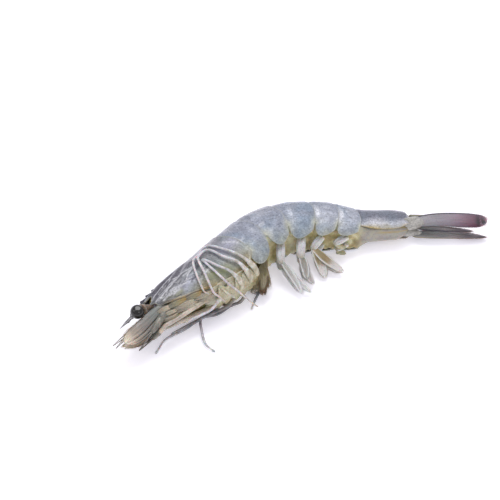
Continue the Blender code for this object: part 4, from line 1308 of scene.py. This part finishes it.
# ---- Antennal scales -----------------------------------------------------------------
# A broad flat blade beside each antenna: thin chitin, grey-green, with a stiff straight outer
# edge, a rib and a soft inner edge with a thick fringe of yellowish bristles.

SCALE = [(-40.5, 4.6, 13.2), (-48, 4.9, 12.7), (-56.5, 5.0, 11.9), (-64.3, 7.0, 10.4)]
SCALE_WIDTH = [(0, 1.8), (0.2, 2.7), (0.5, 3.4), (0.8, 3.4), (0.94, 2.5), (1, 1.9)]
SCALE_DEPTH = [(0, 0.8), (0.3, 0.5), (1, 0.3)]
SCALE_LEAN = math.radians(21.7)

scale_shell = paddle_finish(
    "wet_chitin_scale",
    [
        (0.0, "#5e625b"), (0.3, "#6b6e68"), (0.6, "#7c766f"), (0.8, "#a49889"), (0.9, "#d8c8b4"),
        (1.0, "#f0e3cf"),
    ],
    edge="#45433f", border_from=0.84,
)


def scale_ribs(x, c):
    """The stiff rib by the outer edge, and two lower ones."""
    return 0.25 * hill(c, -0.55, 0.08) + 0.16 * hill(c, 0.1, 0.1) + 0.1 * hill(c, 0.5, 0.06)


for side, up in (("left", 1), ("right", -1)):
    normal = Vector((0, 0, up * math.cos(SCALE_LEAN))) - directions(-55)[1] * math.sin(SCALE_LEAN)
    course = through_air(on_side(SCALE, side), normal)
    width = tapered(SCALE_WIDTH, tip=0.12)
    scale = roll(
        course, width, tapered(SCALE_DEPTH, tip=0.05), columns=80, rows=36, relief=scale_ribs,
        share=share_of, across=across_of,
    )
    dress(scale, f"scale_blade_{side}", scale_shell, "scale", f"antennal_scale_{side}")
    hairs = fringe(
        course, width, start=0.45, count=100, length=lambda x: 0.8 + 1.3 * x, lean=0.6, radius=0.055
    )
    dress(hairs, f"scale_fringe_{side}", straw_bristle, "scale")


# ---- Mouth ---------------------------------------------------------------------------
# The third maxillipeds, a pair of long hairy limbs folded forwards under the head, and above
# them the smaller mouth limbs and palps, seen as cream and ochre lobes under the shield.


def over_shell(knots):
    """A course over the shell through (s, angle, height) knots."""
    table = [(k, *knot) for k, knot in enumerate(knots)]

    def course(x):
        s, a, h = (smooth(x * (len(knots) - 1), table, column) for column in (1, 2, 3))
        low = shell(s, a, h)
        return low, (shell(s, a, h + 1) - low).normalized()

    return course


# thin soft cuticle, cream where it is bare, ochre over the glands, and rosy on the long pair;
# dark rims part one limb from the next
mouth_cuticle = paddle_finish(
    "wet_cuticle_mouth", [(0.0, "#c0b495"), (0.3, "#bdb29a"), (0.6, "#a39a87"), (1.0, "#8a8577")],
    edge="#443a2a", border_from=0.62,
)
ochre_cuticle = paddle_finish(
    "wet_cuticle_ochre", [(0.0, "#a3813c"), (0.35, "#a08a58"), (0.6, "#8d8668"), (1.0, "#77776e")],
    edge="#4a3c1e", border_from=0.6,
)
club_cuticle = paddle_finish(
    "wet_cuticle_club", [(0.0, "#ab9f86"), (0.4, "#b9ad9c"), (0.8, "#bfb3a7"), (1.0, "#b9aa98")],
    edge="#4f4536", border_from=0.7,
)

# the long pair's courses, each knot as (s, angle, height over the shell)
MAXILLIPEDS = {
    "left": [(-26, 168, 0.3), (-32.5, 168, 0.3), (-38.5, 170, 0.9), (-45, 171, 2.0), (-52, 171, 3.2)],
    "right": [(-26, -168, 0.3), (-33, -166, 0.3), (-40, -163, 0.3), (-46, -158, 0.6), (-52.5, -160, 1.3)],
}
MAXILLIPED_WIDTH = [(0, 0.9), (0.3, 1.1), (0.6, 0.95), (0.85, 0.9), (1, 0.8)]
MAXILLIPED_JOINTS = [0, 0.3, 0.58, 0.8, 1]
# palps and small mouth limbs: root, tip, half width and finish, the places in the same form
MOUTH_LOBES = [
    ((-27, 145, -0.5), (-36, 135, -0.3), 1.5, ochre_cuticle),
    ((-34, 138, -0.6), (-43, 125, -0.1), 1.5, ochre_cuticle),
    ((-24, 154, -0.4), (-34, 148, -0.2), 1.4, mouth_cuticle),
    ((-31.5, 151, -0.6), (-42, 142, -0.2), 1.4, mouth_cuticle),
    ((-22, 163, -0.4), (-33, 160, -0.2), 1.2, mouth_cuticle),
    ((-31, 160, -0.6), (-42, 156, -0.3), 1.2, mouth_cuticle),
    ((-39, 150, -0.9), (-47, 140, -0.4), 1.2, mouth_cuticle),
    ((-40, 130, -0.9), (-47, 120, -0.4), 1.4, mouth_cuticle),
    ((-40, 163, -0.5), (-49, 160, 0.2), 1.0, mouth_cuticle),
    ((-18, 168, -0.4), (-21.5, 152, 0.3), 1.3, ochre_cuticle),
]
LOBE_ARCH = 0.5  # how far the middle of a lobe stands up


def lobe_folds(x, c):
    """Two folds along a lobe, with a crease between them."""
    return 0.2 * hill(c, 0.4, 0.14) - 0.2 * hill(c, 0.1, 0.12) + 0.2 * hill(c, -0.4, 0.16)


for side, sign in (("left", 1), ("right", -1)):
    course = over_shell(MAXILLIPEDS[side])
    limb = chain(course, MAXILLIPED_JOINTS, MAXILLIPED_WIDTH, MAXILLIPED_WIDTH, swell=0.12)
    dress(limb, f"mouth_leg_{side}", club_cuticle, "mouthparts", f"maxilliped_{side}")
    hairs = fringe(
        course, lambda x: smooth(x, MAXILLIPED_WIDTH), start=0.1, count=90, length=lambda x: 1.2,
        lean=0.5, radius=0.04,
    )
    dress(hairs, f"mouth_leg_hairs_{side}", straw_bristle, "mouthparts")
    for number, (start, end, half, skin) in enumerate(MOUTH_LOBES):
        root, tip = [(s, sign * angle, height) for s, angle, height in (start, end)]
        s, angle, height = [(p + q) / 2 for p, q in zip(root, tip)]
        lobe = roll(
            over_shell([root, (s, angle, height + LOBE_ARCH), tip]),
            tapered([(0, half * 0.7), (0.5, half), (1, half * 0.6)], tip=0.25, base=0.2),
            tapered([(0, 0.8), (0.5, 0.9), (1, 0.4)], tip=0.25, base=0.2), columns=40, rows=22,
            relief=lobe_folds, share=share_of, across=across_of,
        )
        dress(lobe, f"mouth_lobe_{number}_{side}", skin, "mouthparts")


# ---- Walking legs --------------------------------------------------------------------
# Five pairs of thin jointed legs, pale and half see-through, on flat roots that a soft breast
# joins. The left ones are folded up over the shield, the right ones lie under the body. The
# first three pairs end in small pincers, the last two in a plain claw.

# the legs' courses: the left ones over the shell, each knot as (s, angle, height), the right
# ones as (s, u, z)
LEFT_LEGS = {
    1: [(-23.5, 172, 0.9), (-25.5, 176, 1.9), (-29.4, 180, 3.1),
        (-33, 184, 2.4), (-37, 184, 2.3), (-40.5, 184, 2.7)],
    2: [(-19.3, 170, 0.5), (-21.2, 157, 1.4), (-22.6, 148, 1.3), (-22.4, 163, 2.9), (-21.4, 172, 4.4)],
    3: [(-14.5, 174, 0.9), (-14.8, 160, 1.6), (-15.2, 145, 1.5), (-15.6, 127, 1.3), (-17, 107, 1.1),
        (-18, 80, 1.1), (-19.6, 112, 1.1), (-19.6, 146, 1.4), (-17.8, 170, 2.2), (-18.6, 176, 7.5),
        (-19, 178, 12)],
    4: [(-10, 172, 0.9), (-10.3, 158, 1.6), (-10.2, 142, 1.5), (-10.2, 122, 1.3), (-12, 97, 1.2),
        (-12.4, 68, 1.3), (-17.5, 74, 2.6), (-20.6, 84, 2.8), (-24.3, 119, 1.7), (-26, 150, 1.6),
        (-25.2, 168, 2.8), (-25.4, 172, 4.6)],
    5: [(-6, 168, 0.9), (-6.5, 150, 1.6), (-6.7, 133, 1.4), (-7.2, 112, 1.2), (-8.8, 84, 1.1),
        (-10.4, 56, 1.1), (-16, 62, 1.2), (-20.8, 72, 1.3), (-26, 107, 1.1), (-28.5, 138, 1.2),
        (-28, 151, 1.6)],
}
RIGHT_LEGS = {
    1: [(-22.5, -7.2, 5.8), (-24, -7.0, 3.6), (-26.5, -5.0, 1.6), (-30, -3.3, 0.9), (-36, -1.2, 0.8),
        (-43, 1, 0.8)],
    2: [(-17.5, -10.6, 6.4), (-20.5, -10.2, 4.8), (-26, -8.5, 4.7), (-31.5, -6.2, 4.8), (-36, -4.5, 4.0),
        (-40, -2.5, 2.4), (-47, 1.0, 1.0), (-54.5, -0.2, 0.7)],
    3: [(-13.5, -13.0, 5.6), (-15.5, -11.9, 3.2), (-18.5, -9.6, 2.2), (-25.5, -8.4, 2.6),
        (-31.3, -4.9, 3.0), (-36, -8.4, 2.3), (-40, -13.3, 1.4), (-40.6, -18.0, 0.7)],
    4: [(-9.5, -13.6, 5.2), (-6.5, -13.2, 1.6), (-4.5, -13.6, 0.9), (-9, -14.8, 0.9), (-14, -16.6, 0.8)],
    5: [(-5.5, -13.2, 5.2), (-3.5, -12.4, 2.2), (0, -12.2, 0.8), (5, -12.4, 0.7)],
}
# where each leg's joints are, as numbers of its knots
LEFT_JOINTS = {
    1: [0, 1, 2, 3, 4, 5], 2: [0, 1, 2, 3, 4], 3: [0, 2, 5, 7, 9, 10], 4: [0, 2, 5, 7, 10, 11],
    5: [0, 2, 5, 7, 9, 10],
}
RIGHT_JOINTS = {
    1: [0, 1, 2, 3, 5], 2: [0, 1, 2, 4, 6, 7], 3: [0, 1, 2, 4, 6, 7], 4: [0, 1, 2, 3, 4], 5: [0, 1, 2, 3],
}
LEG_WIDTH = [(0, 1.2), (0.12, 1.4), (0.2, 1.1), (0.3, 0.6), (0.6, 0.5), (0.8, 0.46), (1, 0.3)]
LEG_DEPTH = [(0, 0.8), (0.2, 0.65), (0.34, 0.5), (0.8, 0.42), (1, 0.26)]
UNDER_WIDTH = [(0, 0.8), (0.2, 0.7), (0.34, 0.62), (0.8, 0.58), (1, 0.4)]

# thin cuticle over white flesh: pale and glossy on the raised legs, and cream on the roots and the
# breast, where it is soft; on the legs below the body it is painted greyer and darker, as painted shade
leg_cuticle = limb_finish(
    "wet_cuticle_leg",
    [
        (0.0, "#b3ac8c"), (0.16, "#c4bfac"), (0.34, "#cdccd0"), (0.6, "#d3d1d6"), (0.84, "#d0c9c8"),
        (1.0, "#bfb3a4"),
    ],
    speck="#8d8c95", wealth=0.3,
)
short_cuticle = limb_finish(
    "wet_cuticle_short_leg",
    [(0.0, "#b3ac8c"), (0.5, "#b9b293"), (0.8, "#c3bda8"), (1.0, "#cbc6bb")],
    speck="#8d8c85", wealth=0.3,
)
under_leg_painted_shade = limb_finish(
    "wet_cuticle_under_leg_painted_shade",
    [(0.0, "#8f8a7e"), (0.3, "#6f6d70"), (0.6, "#8c8b90"), (0.85, "#b9b9bc"), (1.0, "#c9c7c4")],
    speck="#6f6e78", wealth=0.3,
)
coxa_cuticle = paddle_finish(
    "wet_cuticle_coxa", [(0.0, "#bcb9a4"), (0.4, "#bab397"), (0.8, "#b0a67f"), (1.0, "#a08f5f")],
    edge="#cdc8b0", border_from=0.8,
)

# the breast between the leg roots: three wrinkled strips, each round a line at its own angle
BREAST_ANGLES = (157, 176, -166)
BREAST_WIDTH, BREAST_THICKNESS = [(0, 1.6), (0.3, 2.8), (1, 2.8)], [(0, 0.8), (1, 0.8)]
for number, angle in enumerate(BREAST_ANGLES):
    breast = roll(
        over_shell([(-29, angle + 4, -0.7), (-17, angle, -0.6), (-3.5, angle, -0.7)]),
        tapered(BREAST_WIDTH, tip=0.1, base=0.15), tapered(BREAST_THICKNESS, tip=0.1, base=0.1),
        columns=60, rows=26, relief=lambda x, c: 0.3 * math.sin(x * 40) * (1 - abs(c)),
        share=share_of, across=across_of,
    )
    dress(breast, f"breast_{number}", coxa_cuticle, "limb")

# the flat roots of the legs, which overlap like tiles below the shield's border; the right
# ones are pressed in by the floor
ROOTS_FROM, ROOT_PITCH, PRESSED_IN = -26.0, 3.6, -0.9
ROOT_WIDTH, ROOT_THICKNESS = [(0, 1.8), (0.5, 2.7), (1, 2.6)], [(0, 0.5), (0.5, 0.8), (1, 0.6)]
for side, sign in (("left", 1), ("right", -1)):
    for number in range(1, 6):
        s = ROOTS_FROM + ROOT_PITCH * number
        low = 0.0 if side == "left" else PRESSED_IN
        knots = [(s + 1.2, 147, 0.1), (s + 0.4, 162, 0.7), (s - 1.0, 178, 0.2)]
        coxa = roll(
            over_shell([(place, sign * angle, height + low) for place, angle, height in knots]),
            tapered(ROOT_WIDTH, tip=0.3, base=0.2), tapered(ROOT_THICKNESS, tip=0.25, base=0.2),
            columns=40, rows=26, relief=lambda x, c: 0.25 * hill(c, 0.55, 0.15) - 0.25 * hill(c, 0.2, 0.15),
            share=share_of, across=across_of,
        )
        dress(coxa, f"leg_root_{number}_{side}", coxa_cuticle, "limb")

# a pincer's two fingers: half width and depth, length, how far they overlap the leg, and bow
FINGER_WIDTH, FINGER_DEPTH = [(0, 0.3), (1, 0.1)], [(0, 0.28), (1, 0.1)]
FINGER_LENGTH, FINGER_ROOT, FINGER_BOW = 2.0, 1.4, 0.22
PINCER_LEGS = (1, 2, 3)

for side, legs, joints in (("left", LEFT_LEGS, LEFT_JOINTS), ("right", RIGHT_LEGS, RIGHT_JOINTS)):
    for number, knots in legs.items():
        course = over_shell(knots) if side == "left" else through_air(knots, (0, 0, 1))
        last_knot = len(knots) - 1
        shares = [k / last_knot for k in joints[number]]
        width = LEG_WIDTH if side == "left" else UNDER_WIDTH
        pieces = [chain(course, shares, width, LEG_DEPTH, swell=0.12, slack=0.3)]
        if number in PINCER_LEGS:
            _, along, across, up = frame_at(course, 0.97)
            root = course(1)[0] - along * FINGER_ROOT
            for turn in (-1, 1):
                out = across * FINGER_BOW * turn

                def finger(x, root=root, out=out, along=along, up=up):
                    bow = math.sin(math.pi * min(x * 1.1, 1)) * 1.4
                    return root + along * FINGER_LENGTH * x + out * bow, up

                pieces.append(roll(
                    finger, tapered(FINGER_WIDTH, tip=0.1), tapered(FINGER_DEPTH, tip=0.1),
                    columns=14, rows=8, share=lambda x, y: 0.9 + 0.1 * x,
                ))
        leg = join(pieces)
        # the legs below the body take the copy that is painted darker, as painted shade
        skin = under_leg_painted_shade
        if side == "left":
            skin = short_cuticle if number == 2 else leg_cuticle
        dress(leg, f"leg_{number}_{side}", skin, "limb", f"walking_leg_{number}_{side}")


# ---- Swimmerets ----------------------------------------------------------------------
# A pair of swimming legs under each of the first five segments: a flat stem of pale speckled
# cuticle that leans forwards, and two long soft blades that hang from it, edged with bristles.

# each (s, u, height from the centre, stem, outer blade, inner blade), and the last three as
# (towards the tail, towards the belly, up)
SWIMMERETS = [
    (4.0, -8.9, 1.9, (-4.0, 3.7, -2.8), (-6.0, 4.9, -3.2), (-6.5, 4.6, -1.6)),
    (17.5, -8.8, 3.2, (-5.5, 8.0, -2.5), (4.0, 14.0, -7.0), (0.5, 13.0, -6.0)),
    (30.5, -8.6, 3.0, (-2.5, 9.0, -3.0), (2.6, 9.5, -5.5), (0.4, 7.5, -4.0)),
    (40.5, -8.6, 2.6, (-4.2, 4.7, -2.7), (11.6, 8.0, -4.7), (4.4, 10.2, -5.2)),
    (51.5, -7.4, 2.4, (-5.5, 2.5, -2.0), (4.5, 0.9, -0.7), (1.5, 1.7, -0.8)),
]
KNEE_LOWEST, OUTER_LOWEST, INNER_LOWEST = 2.4, 0.8, 1.3  # z
RIGHT_LIFT, RIGHT_FOLD = 0.55, 0.85  # the right ones start nearer the centre and reach less far
SWIM_STEM_WIDTH = [(0, 1.5), (0.45, 1.9), (0.85, 1.5), (1, 1.2)]
SWIM_STEM_DEPTH = [(0, 1.0), (0.6, 1.0), (1, 0.8)]
BLADE_THICKNESS, CLEAR_RIM = [(0, 0.55), (0.4, 0.3), (1, 0.16)], [(0, 0.16), (1, 0.16)]
STEM_BOW, OUTER_BOW, INNER_BOW = 0.25, 0.5, -0.4

# thin pale cuticle with clear borders
stem_cuticle = paddle_finish(
    "wet_cuticle_stem", [(0.0, "#c3c09f"), (0.4, "#cbcbcd"), (0.8, "#c4c2bf"), (1.0, "#b0aa94")],
    edge="#dcdcd4", border_from=0.8,
)
# the soft blades let light through: brown on the first pair, nearly clear on the next two, tan
# with a clear tip on the fourth, and cream on the last; one value or list for each pair
BLADE_STOPS = [
    [(0.0, "#a19a70"), (0.5, "#94875f"), (1.0, "#8b7b60")],
    [(0.0, "#c4c0b2"), (0.5, "#d2cfc9"), (1.0, "#e2e0de")],
    [(0.0, "#b5ae97"), (0.5, "#cac5ba"), (1.0, "#d6d1ca")],
    [(0.0, "#ada27b"), (0.4, "#a08c62"), (0.55, "#ad9a7a"), (0.68, "#dcd7d0"), (1.0, "#f6f5f4")],
    [(0.0, "#d0cbad"), (0.5, "#cbc497"), (1.0, "#c8c09e")],
]
BLADE_WIDTHS = [1.5, 1.2, 1.4, 1.9, 1.5]
EDGE_COLOURS = ["#85765a", "#f4f2f0", "#ebe7e2", "#d8cfc0", "#dcd6b8"]
BRISTLE_COLOURS = ["#85745a", "#f2f0ee", "#e3dfd8", "#ddd5c9", "#d6cfae"]
BRISTLE_LENGTHS = [2.6, 2.2, 2.4, 2.6, 0.8]
CLEAR_PAIRS, RIMMED_PAIRS = (2, 3), (2, 3, 4)


def bowed(start, end, bow):
    """A course from start to end, bent a little out of the straight, and facing up."""
    sag = (end - start).cross(Vector((0, 0, 1))).normalized() * bow
    return lambda x: (start.lerp(end, x) + sag * math.sin(math.pi * x), Vector((0, 0, 1)))


blade_cuticles, blade_bristles = [], []
for number, (stops, edge, colour) in enumerate(zip(BLADE_STOPS, EDGE_COLOURS, BRISTLE_COLOURS), 1):
    clear = 0.5 if number in CLEAR_PAIRS else 0.25
    blade_cuticles.append(
        paddle_finish(f"wet_cuticle_blade_{number}", stops, edge, border_from=0.66, clear=clear)
    )
    # soft hairs, which let light through
    blade_bristles.append(plain_finish(
        f"soft_bristle_{number}", colour, Roughness=0.4, Subsurface_Weight=0.2,
        Subsurface_Scale=0.0004, Transmission_Weight=0.3,
    ))

# wet matted hairs, which look olive
olive_bristle = plain_finish(
    "soft_bristle_olive", "#9d9268", Roughness=0.4, Subsurface_Weight=0.2, Subsurface_Scale=0.0004,
)
# the blade's clear rim looks white where it catches the light
blade_rim = plain_finish(
    "clear_blade_rim", "#f3f1ee", Roughness=0.25, Subsurface_Weight=0.2, Subsurface_Scale=0.0004,
)


def stem_folds(x, c):
    """A strong and a weak ridge along the stem, with a furrow between them."""
    return 0.25 * hill(c, 0.5, 0.12) - 0.25 * hill(c, 0.1, 0.2) + 0.15 * hill(c, -0.5, 0.15)


for side in ("left", "right"):
    for number, (s, u, lift, stem, outer, inner) in enumerate(SWIMMERETS, 1):
        along, back = directions(s)
        fold = 1.0 if side == "left" else RIGHT_FOLD
        top = at(s, u, section(s)[3] + (lift if side == "left" else -RIGHT_LIFT * lift))

        def swing(start, vector, lowest, along=along, back=back, fold=fold):
            """The far end of a piece that starts at a place and hangs by a vector."""
            tail, belly, rise = vector
            end = start + along * tail * fold - back * belly * fold + Vector((0, 0, rise))
            return Vector((end.x, end.y, max(end.z, lowest)))

        knee = swing(top, stem, KNEE_LOWEST)
        base = roll(
            bowed(top, knee, STEM_BOW), tapered(SWIM_STEM_WIDTH, tip=0.12, base=0.1),
            tapered(SWIM_STEM_DEPTH, tip=0.12, base=0.1), columns=40, rows=28, over=0.3,
            relief=stem_folds, share=share_of, across=across_of,
        )
        skin = blade_cuticles[0] if number == 1 else stem_cuticle
        dress(base, f"swimmeret_stem_{number}_{side}", skin, "swimmeret", f"swimmeret_{number}_{side}")
        half = BLADE_WIDTHS[number - 1]
        for kind, vector, lowest, bow in (
            ("outer", outer, OUTER_LOWEST, OUTER_BOW), ("inner", inner, INNER_LOWEST, INNER_BOW),
        ):
            course = bowed(knee.lerp(top, 0.12), swing(knee, vector, lowest), bow)
            width = tapered([(0, half * 0.6), (0.35, half), (0.8, half * 0.75), (1, half * 0.4)], tip=0.1)
            leaf = roll(
                course, width, tapered(BLADE_THICKNESS, tip=0.05), columns=50, rows=24,
                relief=lambda x, c: 0.12 * hill(c, 0.0, 0.15), share=share_of, across=across_of,
            )
            dress(leaf, f"swimmeret_{kind}_{number}_{side}", blade_cuticles[number - 1], "swimmeret")
            if number in RIMMED_PAIRS:
                for edge in (-1, 1):

                    def border(x, course=course, width=width, edge=edge):
                        centre, _, across, up = frame_at(course, x)
                        return centre + across * edge * width(x) * 0.96, up

                    thin = tapered(CLEAR_RIM)
                    line = roll(border, thin, thin, columns=40, rows=8, share=share_of)
                    edge_name = "front" if edge < 0 else "rear"
                    dress(line, f"swimmeret_{kind}_{edge_name}_rim_{number}_{side}", blade_rim, "swimmeret")
            longest = BRISTLE_LENGTHS[number - 1]
            hairs = fringe(
                course, width, start=0.1, count=110, length=lambda x: longest * (1 - 0.45 * x),
                lean=0.3, radius=0.07,
            )
            skin = blade_bristles[number - 1]
            dress(hairs, f"swimmeret_{kind}_fringe_{number}_{side}", skin, "swimmeret")

# the first pair's long strands, which hang as one matted brush beside the leg roots
BRUSH_ROOTS = [(-2.5, -11.0, 10.0), (4.0, -10.8, 12.6)]
BRUSH_TIPS = [(-11.0, -13.6, 4.6), (-3.6, -18.8, 4.4)]
STRAND_RADIUS, STRAND_LOWEST = 0.16, 0.6


def brush(roots, tips, count):
    """Wet strands that hang in a fan, from one line of (s, u, z) to another."""
    strands = []
    for _ in range(count):
        along, jitter = random.random(), random.uniform(-0.12, 0.12)
        root = at(*roots[0]).lerp(at(*roots[1]), along + jitter)
        tip = at(*tips[0]).lerp(at(*tips[1]), along - jitter)
        root = root.lerp(tip, random.uniform(0.0, 0.35))
        tip = root.lerp(tip, random.uniform(0.7, 1.0))
        strands.append((root, Vector((tip.x, tip.y, max(tip.z, STRAND_LOWEST))) - root))
    return bristles(strands, STRAND_RADIUS)


for name, skin, count in (
    ("dark", blade_bristles[0], 170), ("olive", olive_bristle, 190), ("pale", straw_bristle, 70),
):
    strands = brush(BRUSH_ROOTS, BRUSH_TIPS, count)
    dress(strands, f"swimmeret_brush_{name}", skin, "swimmeret")


# ---- Studio --------------------------------------------------------------------------
# A white light table that runs out of sight and glows a little, so that shadows stay pale, a
# large soft light above and behind the animal, two smaller ones from the left and in front, and
# an even white room. The camera looks down at 45 degrees.

TABLE_SIZE = 6.0  # m

# matt white acrylic, lit from below
table_acrylic, _ = finish(
    "white_light_table", Roughness=0.9, Base_Color=linear("#fdfdff"), Specular_IOR_Level=0.1,
    Emission_Color=linear("#f6f3ff"), Emission_Strength=0.31,
)
bpy.ops.mesh.primitive_plane_add(size=TABLE_SIZE, location=(0, 0, 0))
floor = bpy.context.object
floor.name = "floor"
floor.data.materials.append(table_acrylic)

room = bpy.data.worlds.new("white_room")
room.use_nodes = True
walls = room.node_tree.nodes["Background"]
walls.inputs["Color"].default_value = linear("#f9f8ff")
walls.inputs["Strength"].default_value = 0.76
bpy.context.scene.world = room

# each light: place and size in m, power in W
for name, place, size, power in (
    ("softbox_above", (0.0, 0.3, 0.8), 0.34, 2.1),
    ("softbox_left", (-0.7, -0.2, 0.5), 0.3, 0.6),
    ("strip_front", (0.35, -0.6, 0.5), 0.22, 0.5),
):
    lamp = bpy.data.lights.new(name, "AREA")
    lamp.shape = "SQUARE"
    lamp.size = size
    lamp.energy = power
    box = bpy.data.objects.new(name, lamp)
    box.location = place
    box.rotation_euler = Vector(place).to_track_quat("Z", "Y").to_euler()
    bpy.context.scene.collection.objects.link(box)

# the lens in mm, and the camera's distance from the spot that it looks at, in m
LENS, DISTANCE, LOOK_DOWN = 131.76, 0.75, math.radians(45)
AIM = Vector((-0.02219, 0.0231, 0.0))
eye = bpy.data.objects.new("camera", bpy.data.cameras.new("camera"))
back = Vector((0, -math.cos(LOOK_DOWN), math.sin(LOOK_DOWN)))
eye.location = AIM + back * DISTANCE
eye.rotation_euler = back.to_track_quat("Z", "Y").to_euler()
eye.data.lens = LENS
eye.data.clip_start = 0.01
bpy.context.scene.collection.objects.link(eye)
bpy.context.scene.camera = eye
bpy.context.scene.view_settings.view_transform = "Standard"
